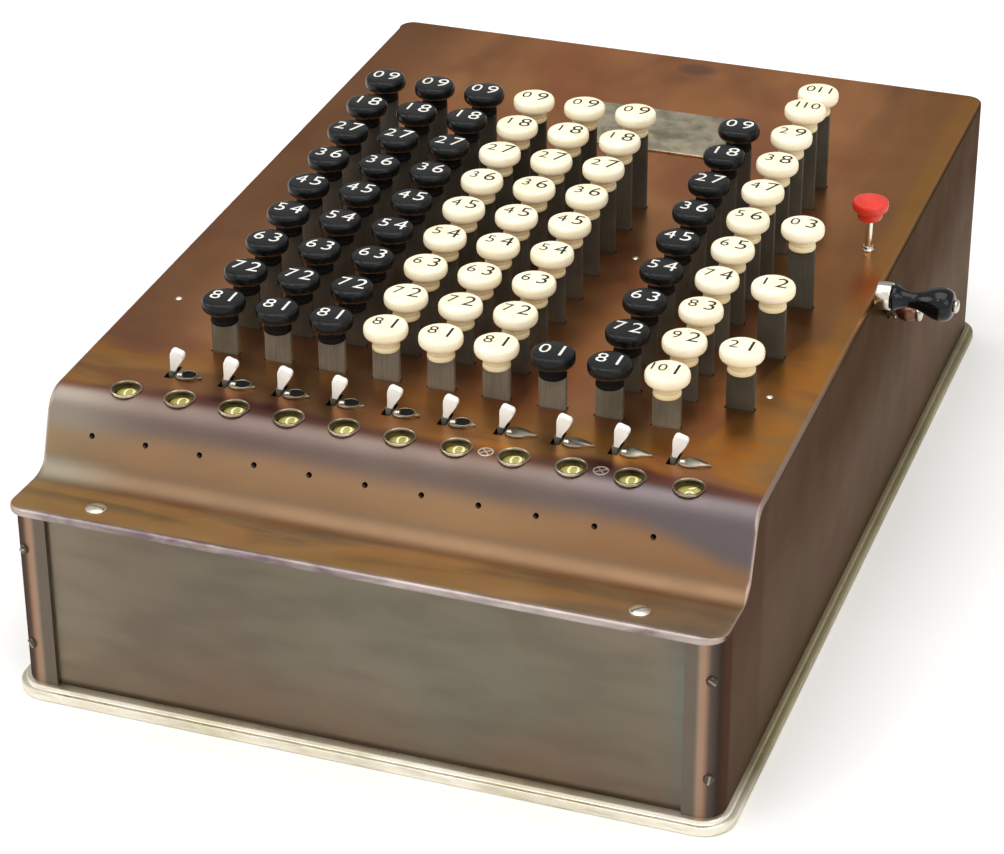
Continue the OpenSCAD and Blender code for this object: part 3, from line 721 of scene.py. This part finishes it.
def cover_cutters():
    """One mesh of all the slots, windows and holes of the cover."""
    bm = bmesh.new()
    slot = rectangle(STEM_W + 2 * STEM_GAP, STEM_T + 2 * STEM_GAP)
    gap = rectangle(*CUTOFF_SLOT)
    for c in COLUMNS:
        for r in key_rows(c):
            at = key_place(c, r)
            prism(bm, slot, CUT_LOW, CUT_HIGH, Matrix.Translation((at.x, at.y, 0)))
        prism(bm, gap, CUT_LOW, CUT_HIGH, Matrix.Translation((cutoff_x(c), PANEL_Y + CUTOFF_Y, 0)))
    for w in WHEELS:
        lathe(bm, [(WINDOW_R, -8 * MM), (WINDOW_R, 8 * MM)], on_deck(wheel_x(w), DIAL_Y), 48)
        hole = Matrix.Translation((wheel_x(w) + POINTER_DX, PANEL_Y, BASE_Z + POINTER_H))
        hole = hole @ Matrix.Rotation(-math.pi / 2, 4, "X")
        lathe(bm, [(POINTER_R, 20 * MM), (POINTER_R, CREST_Y)], hole, 20)
    key = middle_of("release_key")
    at = Matrix.Translation((key.x, key.y, 0))
    lathe(bm, [(RELEASE_HOLE_R, CUT_LOW - 5 * MM), (RELEASE_HOLE_R, CUT_HIGH)], at, 24)
    shaft = middle_of("crank_shaft")
    at = along_x((HALF_W, shaft.y, shaft.z))
    lathe(bm, [(CRANK_HOLE_R, -4 * MM), (CRANK_HOLE_R, 2 * MM)], at, 32)
    opening = HALF_W - FLANGE_W
    front = [(-opening, -1 * MM), (opening, -1 * MM), (opening, 4 * MM), (-opening, 4 * MM)]
    prism(bm, front, BASE_Z - MM, LIP_UNDER - 0.05 * MM, Matrix.Translation((0, PANEL_Y, 0)))
    return new_piece("cutters", bm, [])


def make_cover():
    chain = top_chain()
    below = [(CASE_D, BASE_Z), (0, BASE_Z), (0, LIP_UNDER), (-LIP_OUT, LIP_UNDER)]
    cover = loft("cover", chain + below, HALF_W, -LIP_OUT, CASE_D, CORNER_R, EDGE_R)
    inner = [p for p in moved_in(chain, WALL) if p[0] > WALL * 3]
    under = BASE_Z - 2 * MM
    inner = [(WALL, LIP_TOP - WALL)] + inner + [(CASE_D - WALL, under), (WALL, under)]
    hollow = loft("hollow", inner, HALF_W - WALL, WALL, CASE_D - WALL, CORNER_R - WALL, 1 * MM)
    boolean(cover, hollow, "DIFFERENCE")
    boolean(cover, cover_cutters(), "DIFFERENCE")
    mesh = cover.data
    mesh.materials.clear()
    mesh.materials.append(cover_mat)
    mesh.shade_smooth()
    mesh.set_sharp_from_angle(angle=math.radians(34))
    smooth = cover.modifiers.new("flat_faces", "WEIGHTED_NORMAL")
    smooth.keep_sharp = True
    attach(cover, "case", "cover", "top_cover")


# Steps of the rim from its underside up: distance in from the edge, and height
RIM_STEPS = (
    (0.9, 0), (0.3, 0.15), (0, 0.7), (0, 2.7), (0.25, 3.3), (0.8, 3.6), (1.5, 3.65), (1.7, 3.8), (1.75, 4.4),
    (2.0, 4.8), (2.5, 5.0)
)


def make_base():
    """Plated rim: a rounded bead, a narrow step and the flat under the case."""
    low, high = box_of("base_plate")
    middle = (low + high) / 2
    bm = bmesh.new()
    rings = []
    for inset, up in mm(RIM_STEPS):
        width = high.x - low.x - 2 * inset
        depth = high.y - low.y - 2 * inset
        outline = oblong(width, depth, CORNER_R + RIM_OUT - inset, 10)
        rings.append([bm.verts.new((middle.x + x, middle.y + y, low.z + up)) for x, y in outline])
    for one, two in zip(rings, rings[1:]):
        for i in range(len(one)):
            j = (i + 1) % len(one)
            bm.faces.new((one[i], one[j], two[j], two[i]))
    bm.faces.new(rings[0][::-1])
    bm.faces.new(rings[-1])
    attach(new_piece("base_rim", bm, [rim_mat]), "case", "plated", "base_plate")


# Screw head as shares of its radius and heights in millimetres; rivet and flush ring in millimetres
SCREW_HEAD = ((0, 1.15), (0.5, 1.05), (0.85, 0.75), (1, 0.35), (1, -0.4))
RIVET = ((0, 0.45), (0.6, 0.4), (1.0, 0.2), (1.2, 0), (1.2, -1.5))
FLUSH_RING = ((2.1, 0), (2.15, 0.2), (2.4, 0.24), (2.6, 0.2), (2.65, 0))
FLUSH_BAR = (4.2 * MM, 0.45 * MM, 0.2 * MM)
FLUSH_TURNS = (0.7, 2.3)


def screw_at(bm, place, radius, mat=0):
    """Slotted screw with a low domed head."""
    lathe(bm, [(share * radius, h * MM) for share, h in SCREW_HEAD], place, 28, mat)
    # The slot is a raised bar in a grey metal: on the bright lip screws it is painted shade for a slot that
    # is not cut
    groove = rectangle(2 * radius * 0.92, 0.7 * MM)
    prism(bm, groove, 0.75 * MM, 1.17 * MM, place, 0.08 * MM, 1, 1)


def make_screws():
    bm = bmesh.new()
    slope = math.atan2(FOOT_H - LIP_H, FOOT_Y + LIP_OUT)
    x, y = LIP_SCREW
    z = LIP_TOP + (y + LIP_OUT) * math.tan(slope)
    for side in (-1, 1):
        place = Matrix.Translation((side * x, PANEL_Y + y, z)) @ Matrix.Rotation(slope, 4, "X")
        screw_at(bm, place @ Matrix.Rotation(0.35 + side * 0.5, 4, "Z"), LIP_SCREW_R)
        for k, h in enumerate(FLANGE_SCREW_H):
            place = Matrix.Translation((side * (HALF_W - CORNER_R), PANEL_Y + CORNER_R, BASE_Z + h))
            place = place @ Matrix.Rotation(side * FLANGE_SCREW_TURN, 4, "Z")
            place = place @ Matrix.Translation((0, -CORNER_R, 0)) @ Matrix.Rotation(math.pi / 2, 4, "X")
            screw_at(bm, place @ Matrix.Rotation(0.4 + k + side, 4, "Z"), SCREW_R * 0.8, 2)
    for x, y in RIVETS:
        lathe(bm, mm(RIVET), on_deck(x, y), 20)
    for x, y in FLUSH_SCREWS:
        place = on_deck(x, y) @ Matrix.Translation((0, 0, -0.06 * MM))
        hollow_ring(bm, mm(FLUSH_RING), place, 32)
        for turn in FLUSH_TURNS:
            prism(bm, oblong(*FLUSH_BAR, 3), 0, 0.2 * MM, place @ Matrix.Rotation(turn, 4, "Z"))
    attach(new_piece("screws", bm, [screw_mat, leaf_mat, dark_mat]), "case", "plated", "case_screws")


# Register


# Window rims in millimetres: an olive sleeve, whose dark colour is painted shade for the shaded top of each
# wheel, and a paler bead round it
SLEEVE = (
    (4.2, -1.6), (4.18, 0.1), (4.3, 0.4), (4.6, 0.5), (4.95, 0.4), (4.95, -0.1), (4.8, -0.1), (4.8, -1.6)
)
BEAD = ((4.85, -0.1), (4.85, 0.42), (4.98, 0.62), (5.15, 0.66), (5.33, 0.5), (5.4, -0.1))
# Numeral wheel: bore, hub, thickness of the tread, depth of the hollow faces and rounding of the edges
WHEEL_BORE = 2.55 * MM
WHEEL_HUB = 4.2 * MM
WHEEL_TREAD = 1.6 * MM
WHEEL_HOLLOW = 1.5 * MM
WHEEL_ROUND = 0.3 * MM
WHEEL_DIGIT_H = 4.4 * MM
WHEEL_DIGIT_WIDE = 1.45
# Degrees from the top of a wheel to its first digit, and how far the last wheel stands off
DIGIT_TURN = 14
LAST_WHEEL_TURN = 18


def make_register():
    bm = bmesh.new()
    for w in WHEELS:
        hollow_ring(bm, mm(SLEEVE), on_deck(wheel_x(w), DIAL_Y), 48)
        hollow_ring(bm, mm(BEAD), on_deck(wheel_x(w), DIAL_Y), 48, 1)
    attach(new_piece("window_rims", bm, [sleeve_shade_mat, bead_mat]), "case", "bezel", "dial_bezels")
    for w in WHEELS:
        low, high = box_of(f"numeral_wheel_{w}")
        middle = (low + high) / 2
        radius = (high.z - low.z) / 2
        half = (high.x - low.x) / 2
        bm = bmesh.new()
        edge = radius - WHEEL_TREAD
        side = [
            (WHEEL_BORE, half), (WHEEL_HUB, half), (WHEEL_HUB, half - WHEEL_HOLLOW),
            (edge, half - WHEEL_HOLLOW), (edge, half), (radius - WHEEL_ROUND, half),
            (radius, half - WHEEL_ROUND)
        ]
        ring = [(r, -h) for r, h in side] + side[::-1]
        hollow_ring(bm, ring, along_x(middle), 72)
        wide = Matrix.Diagonal((WHEEL_DIGIT_WIDE, 1, 1, 1))
        for digit in range(10):
            angle = 36 * digit + DIGIT_TURN + (LAST_WHEEL_TURN if w == WHEELS[-1] else 0)
            turn = Matrix.Translation(middle) @ Matrix.Rotation(math.radians(angle), 4, "X")
            write(bm, str(digit), turn @ wide, WHEEL_DIGIT_H, 1, radius + 0.03 * MM)
        piece = new_piece(f"wheel_{w}", bm, [wheel_mat, cream_mat])
        attach(piece, f"numeral_wheel_{w}", "wheel", f"numeral_wheel_{w}")


# Keys


# Profiles of a key's top and neck in millimetres, down from the middle of the top
CAP = (
    (0, 0), (6.0, 0), (6.6, -0.1), (7.05, -0.4), (7.35, -0.95), (7.5, -1.7), (7.5, -2.8), (7.35, -3.6),
    (7.0, -4.2), (6.4, -4.7), (5.7, -5.1), (5.2, -5.4), (0, -5.5)
)
NECK = (
    (0, -5.2), (5.1, -5.3), (4.75, -5.7), (4.6, -6.2), (4.55, -7.2), (4.4, -7.4), (4.6, -7.6), (4.7, -8.4),
    (4.65, -8.9), (4.4, -9.2), (0, -9.2)
)
STEM_TOP = -8.9 * MM
# Places of the small left and the large right number, and their heights with one and two figures
LEFT_X = -3.0 * MM
RIGHT_X = (2.9 * MM, 2.4 * MM)
NUMBER_Y = 0.9 * MM
NUMBER_LIFT = 0.04 * MM
SMALL_WHITE_H = 5.0 * MM
SMALL_BLACK_H = 5.8 * MM
SMALL_PAIR_H = 4.6 * MM
LARGE_H = (6.6 * MM, 5.2 * MM)


def key_numbers(c, r):
    """Complement and value of a key."""
    last = {7: 1, 9: 11, 10: 3}.get(c, 9)
    number = {10: r // 2}.get(c, r)
    return str(last - number), str(number)


def make_keys():
    for c in COLUMNS:
        low = box_of(f"key_column_{c}")[0]
        white = c in WHITE_COLUMNS
        single = SMALL_WHITE_H if white else SMALL_BLACK_H
        bm = bmesh.new()
        for r in key_rows(c):
            at = key_place(c, r)
            place = Matrix.Translation(at)
            lathe(bm, mm(CAP), place, 44)
            lathe(bm, mm(NECK), place, 40, 3)
            stem = oblong(STEM_W, STEM_T, 0.3 * MM, 2)
            prism(bm, stem, low.z, at.z + STEM_TOP, Matrix.Translation((at.x, at.y, 0)), 0, 2)
            small, large = key_numbers(c, r)
            left = place @ Matrix.Translation((LEFT_X, NUMBER_Y, NUMBER_LIFT))
            write(bm, small, left, SMALL_PAIR_H if len(small) > 1 else single, 1)
            pair = len(large) - 1
            right = place @ Matrix.Translation((RIGHT_X[pair], NUMBER_Y, NUMBER_LIFT))
            write(bm, large, right, LARGE_H[pair], 1)
        mats = [black_mat, paint_mat, steel_mat, black_neck_mat]
        if white:
            mats = [ivory_mat, ink_mat, steel_mat, ivory_neck_mat]
        piece = new_piece(f"keys_{c}", bm, mats, 40)
        attach(piece, f"key_column_{c}", "white_key" if white else "black_key", f"key_column_{c}")


# Cutoff levers and their plates


# Half widths of a paddle over its height, in millimetres
PADDLE = (
    (0.8, 0.0), (0.9, 1.6), (1.15, 2.8), (1.6, 4.2), (2.1, 5.8), (2.4, 7.2), (2.45, 8.1), (2.2, 8.9),
    (1.5, 9.4)
)
PADDLE_LEAN = math.radians(17)
PADDLE_HALF_T = 1.2 * MM
BLADE = (2 * MM, 3.2 * MM, 0.4 * MM)
# Bore, outer radius and half width of the sleeve on the cutoff shaft
CUTOFF_HUB = (1.55 * MM, 3.1 * MM, 1 * MM)


def make_cutoffs():
    """White paddles that lean to the right on blades through the deck."""
    for c in COLUMNS:
        base = deck_z(CUTOFF_Y)
        at = Vector((cutoff_x(c), PANEL_Y + CUTOFF_Y, base))
        bm = bmesh.new()
        upright = Matrix.Translation(at) @ Matrix.Rotation(PADDLE_LEAN, 4, "Y")
        upright = upright @ Matrix.Rotation(math.pi / 2, 4, "X")
        prism(bm, mirrored(mm(PADDLE)), -PADDLE_HALF_T, PADDLE_HALF_T, upright, 0.8 * MM, 0, 4)
        place = Matrix.Translation((at.x, at.y, 0))
        prism(bm, oblong(*BLADE, 2), base - 4 * MM, base + 1.2 * MM, place, 0, 1)
        hub = along_x((at.x, at.y, base - CUTOFF_DROP))
        bore, outer, half = CUTOFF_HUB
        hollow_ring(bm, [(bore, -half), (outer, -half), (outer, half), (bore, half)], hub, 32, 1)
        piece = new_piece(f"cutoff_{c}", bm, [white_mat, steel_mat], 50)
        attach(piece, f"cutoff_lever_{c}", "paddle", f"cutoff_lever_{c}")


# Half depths of a leaf plate along its length, from its blunt left end to its pointed right end
LEAF = (
    (0.0, 0.9), (0.02, 1.5), (0.08, 2.2), (0.18, 2.8), (0.32, 3.1), (0.46, 2.9), (0.6, 2.3), (0.74, 1.5),
    (0.88, 0.7), (1.0, 0.2)
)
LEAF_L = 10.9 * MM
OPEN_LEAF_L = 9.3 * MM
LEAF_START = 1.9 * MM
OPEN_LEAVES = range(1, 7)
# Oval opening of a leaf plate: its place along the leaf, its depth against its width, the black disc of
# painted shade that stands for the hole, and its rim
LEAF_OVAL_X = 4.4 * MM
LEAF_OVAL_DEPTH = 0.85
LEAF_HOLE_SHADE = ((0, 0.03), (2.9, 0.03), (2.9, -0.1))
LEAF_RIM = ((2.75, 0), (2.8, 0.22), (3.0, 0.3), (3.25, 0.22), (3.3, 0))
KNUCKLE_AT = (1.5 * MM, -0.4 * MM, 0.6 * MM)
KNUCKLE = ((0, 0.75), (0.7, 0.65), (1.1, 0.3), (1.2, -0.2))


def make_leaves():
    """Leaf plates beside the cutoff levers; those on the left have a rimmed oval opening, drawn as a black
    disc of painted shade.
    """
    bm = bmesh.new()
    for c in COLUMNS:
        length = OPEN_LEAF_L if c in OPEN_LEAVES else LEAF_L
        outline = [(u * length, -w * MM) for u, w in LEAF]
        outline += [(u * length, w * MM) for u, w in reversed(LEAF)]
        place = on_deck(cutoff_x(c) + LEAF_START, CUTOFF_Y - PLATE_FORE)
        prism(bm, outline, 0, PLATE_T, place, 0.3 * MM, 0, 3)
        if c in OPEN_LEAVES:
            oval = place @ Matrix.Translation((LEAF_OVAL_X, 0, PLATE_T))
            oval = oval @ Matrix.Diagonal((1, LEAF_OVAL_DEPTH, 1, 1))
            # Black disc of painted shade in place of the hole
            lathe(bm, mm(LEAF_HOLE_SHADE), oval, 32, 1)
            hollow_ring(bm, mm(LEAF_RIM), oval, 32, 3)
        lathe(bm, mm(KNUCKLE), place @ Matrix.Translation(KNUCKLE_AT), 20, 2)
    leaf = new_piece("leaf_plates", bm, [leaf_mat, black_neck_mat, bright_mat, plated_mat], 50)
    attach(leaf, "case", "plated", "cutoff_plates")


def make_name_plate():
    low, high = box_of("name_plate")
    middle = (low + high) / 2
    bm = bmesh.new()
    outline = oblong(high.x - low.x, high.y - low.y, 1.2 * MM, 4)
    place = on_deck(middle.x, middle.y - PANEL_Y)
    prism(bm, outline, 0, PLATE_T, place, 0.25 * MM, 0, 3)
    attach(new_piece("bare_plate", bm, [silver_mat]), "case", "plated", "name_plate")


# Crank and release key


# Turned profiles in millimetres
KNOB = (
    (1.55, 0.05), (4.2, 0.05), (4.6, 0.5), (4.65, 1.2), (4.35, 1.9), (3.9, 2.6), (3.4, 4.0), (3.0, 5.6),
    (2.9, 7.2), (3.2, 9.2), (3.9, 11.2), (4.9, 13.4), (5.6, 15.4), (5.9, 17.2), (5.9, 18.4), (5.55, 19.8),
    (4.8, 21.0), (3.6, 21.7), (1.55, 21.9)
)
FERRULE = ((0, 0), (4.3, 0), (4.8, 0.3), (5.0, 0.9), (5.0, 4.6), (4.8, 5.2), (4.3, 5.4), (0, 5.4))
SPINDLE = ((1.4, -23), (1.4, 0), (2.1, 0.05), (2.4, 0.4), (2.3, 0.9), (1.6, 1.4), (0, 1.5))
SPINDLE_TIP = 1.5 * MM
# The hub runs from its bright washer over a brown waist to a bright nut
HUB_ENDS = (
    ((0, 0), (2.6, 0), (2.9, 0.3), (2.9, 1.5), (2.4, 1.9), (1.9, 2.0), (0, 2.0)),
    ((0, 8.6), (2.2, 8.6), (2.7, 8.8), (2.9, 9.4), (2.7, 10.3), (1.9, 10.8), (0, 11.0))
)
HUB_WAIST = ((0, 1.8), (2.2, 1.8), (2.9, 3.0), (3.4, 4.6), (3.45, 5.6), (3.1, 7.2), (2.3, 8.7), (0, 8.7))
# Half widths of the arm along its length, from the hub on, and at the ferrule
ARM = ((0, 2.6), (7, 2.3), (18, 2.4))
ARM_END = 3.4


def make_crank():
    low, high = box_of("crank_arm")
    shaft = middle_of("crank_shaft")
    knob = middle_of("crank_knob")
    knob_x = box_of("crank_knob")[0].x - 0.05 * MM
    bm = bmesh.new()
    lathe(bm, mm(KNOB), along_x((knob_x, knob.y, knob.z)), 48)
    attach(new_piece("turned_knob", bm, [knob_mat], 50), "crank_knob", "black_key", "crank_knob")
    bm = bmesh.new()
    lathe(bm, mm(FERRULE), along_x((low.x, knob.y, knob.z)), 40)
    lathe(bm, mm(SPINDLE), along_x((high.x - SPINDLE_TIP, knob.y, knob.z)), 32)
    axle = along_x((low.x, shaft.y, shaft.z))
    for end in HUB_ENDS:
        lathe(bm, mm(end), axle, 32)
    lathe(bm, mm(HUB_WAIST), axle, 36, 1)
    reach = Vector((0, knob.y - shaft.y, knob.z - shaft.z))
    angle = math.atan2(-reach.y, reach.z)
    place = Matrix.Translation((low.x, shaft.y, shaft.z)) @ Matrix.Rotation(angle, 4, "X")
    place = place @ Matrix.Rotation(math.pi / 2, 4, "Y")
    side = [*ARM, (reach.length / MM, ARM_END)]
    outline = [(-t * MM, w * MM) for t, w in side] + [(-t * MM, -w * MM) for t, w in reversed(side)]
    prism(bm, outline, 0.1 * MM, 2.3 * MM, place, 0.6 * MM, 1, 3)
    attach(new_piece("crank_lever", bm, [bright_mat, brown_mat]), "crank", "plated", "crank_arm")


RED_HEAD = (
    (0, 0), (5.6, -0.02), (6.1, -0.2), (6.4, -0.65), (6.5, -1.3), (6.42, -2.6), (6.1, -3.5), (5.4, -4.1),
    (4.75, -4.35), (4.5, -4.7), (4.5, -6.0), (4.2, -7.0), (3.6, -7.45), (0, -7.5)
)
RED_STEM_R = 1.3 * MM
RED_STEM_TOP = -7.3 * MM
COLLAR = (
    (1.4, -1.4), (1.75, -1.4), (1.75, 0.0), (2.3, 0.05), (2.3, 0.4), (2.0, 0.8), (1.8, 1.6), (1.4, 1.7)
)


def make_release():
    low, high = box_of("release_key")
    middle = (low + high) / 2
    bm = bmesh.new()
    top = Matrix.Translation((middle.x, middle.y, high.z))
    lathe(bm, mm(RED_HEAD), top, 44)
    foot = low.z - high.z
    stem = [(0, foot), (RED_STEM_R, foot), (RED_STEM_R, RED_STEM_TOP), (0, RED_STEM_TOP)]
    lathe(bm, stem, top, 28, 1)
    attach(new_piece("red_key", bm, [red_mat, bright_mat]), "release_key", "red_key", "release_key")
    bm = bmesh.new()
    hollow_ring(bm, mm(COLLAR), on_deck(middle.x, middle.y - PANEL_Y), 32)
    attach(new_piece("release_collar", bm, [bright_mat]), "case", "plated")


def dress_nodes():
    """Materials of the CAD nodes that stay in view."""
    inner = [
        "left_side_frame", "right_side_frame", "key_guide_plate", "lever_shaft", "wheel_shaft",
        "cutoff_shaft", "lever_springs", "wheel_detents", "crank_shaft"
    ]
    inner += [f"column_lever_{c}" for c in COLUMNS]
    finishes = [(name, inner_mat) for name in inner] + [("front_panel", panel_mat)]
    for name, finish in finishes:
        nodes[name].data.materials.clear()
        nodes[name].data.materials.append(finish)


make_cover()
make_base()
make_screws()
make_register()
make_keys()
make_cutoffs()
make_leaves()
make_name_plate()
make_crank()
make_release()
dress_nodes()


# Stage: floor, light and camera


FLOOR_W = 12.0


def make_floor():
    bm = bmesh.new()
    bm.faces.new([bm.verts.new((x, y, 0)) for x, y in rectangle(FLOOR_W, FLOOR_W)])
    s = Shader("pale_floor", Roughness=0.7)
    s.colour(s.ramp(s.noise(2, 2), [(0.3, srgb("f4f3f1")), (0.7, srgb("f8f7f5"))]))
    floor = new_piece("floor", bm, [s.mat])


def make_light(name, place, aim, size, power):
    lamp = bpy.data.lights.new(name, "AREA")
    lamp.shape = "RECTANGLE"
    lamp.size, lamp.size_y = size
    lamp.energy = power
    holder = bpy.data.objects.new(name, lamp)
    holder.location = place
    holder.rotation_euler = (Vector(aim) - Vector(place)).to_track_quat("-Z", "Y").to_euler()
    bpy.context.scene.collection.objects.link(holder)


# Strength of the world light: full from the front, weaker from the back
FADE = (("From Min", 0.5), ("From Max", -0.6), ("To Min", 0.5), ("To Max", 1.0))


def make_stage():
    make_floor()
    make_light("top_light", (0.0, -0.1, 1.7), (0, 0, 0), (1.7, 1.5), 20)
    make_light("left_light", (-1.3, -0.5, 0.9), (0, 0, 0.08), (0.7, 0.9), 5)
    make_light("right_light", (1.4, -0.8, 1.0), (0, 0, 0.08), (0.7, 0.9), 4)
    make_light("spark_right", (0.9, -1.1, 1.1), (0, 0, 0.1), (0.1, 0.1), 1.1)
    make_light("spark_left", (-0.5, -1.0, 1.3), (0, 0, 0.1), (0.1, 0.1), 0.9)
    world = bpy.data.worlds.new("studio")
    world.use_nodes = True
    tree = world.node_tree
    back = tree.nodes["Background"]
    ray = tree.nodes.new("ShaderNodeTexCoord")
    part = tree.nodes.new("ShaderNodeSeparateXYZ")
    tree.links.new(ray.outputs["Generated"], part.inputs[0])
    fade = tree.nodes.new("ShaderNodeMapRange")
    for key, value in FADE:
        fade.inputs[key].default_value = value
    tree.links.new(part.outputs["Y"], fade.inputs["Value"])
    tree.links.new(fade.outputs[0], back.inputs["Strength"])
    back.inputs["Color"].default_value = (1.0, 0.995, 0.985, 1.0)
    bpy.context.scene.world = world


AZIMUTH = math.radians(19.590)
ELEVATION = math.radians(28.946)
ROLL = math.radians(-0.167)
CAMERA_AT = (0.3334, -0.9692, 0.6066)
FOCAL_PIXELS = 3174.8
IMAGE_W = 1004
IMAGE_H = 854
CENTRE = (512.0, 400.8)
SENSOR_W = 36


def make_camera():
    level = math.cos(ELEVATION)
    back = Vector((math.sin(AZIMUTH) * level, -math.cos(AZIMUTH) * level, math.sin(ELEVATION)))
    right = Vector((math.cos(AZIMUTH), math.sin(AZIMUTH), 0))
    up = back.cross(right)
    across = right * math.cos(ROLL) + up * math.sin(ROLL)
    upward = up * math.cos(ROLL) - right * math.sin(ROLL)
    lens = bpy.data.cameras.new("camera")
    lens.sensor_fit = "HORIZONTAL"
    lens.sensor_width = SENSOR_W
    lens.lens = FOCAL_PIXELS * SENSOR_W / IMAGE_W
    lens.shift_x = (IMAGE_W / 2 - CENTRE[0]) / IMAGE_W
    lens.shift_y = (CENTRE[1] - IMAGE_H / 2) / IMAGE_W
    lens.clip_start = 0.05
    lens.clip_end = 50
    holder = bpy.data.objects.new("camera", lens)
    turn = Matrix((across, upward, back)).transposed().to_4x4()
    holder.matrix_world = Matrix.Translation(CAMERA_AT) @ turn
    bpy.context.scene.collection.objects.link(holder)
    bpy.context.scene.camera = holder


make_stage()
make_camera()
bpy.context.scene.view_settings.view_transform = "Standard"
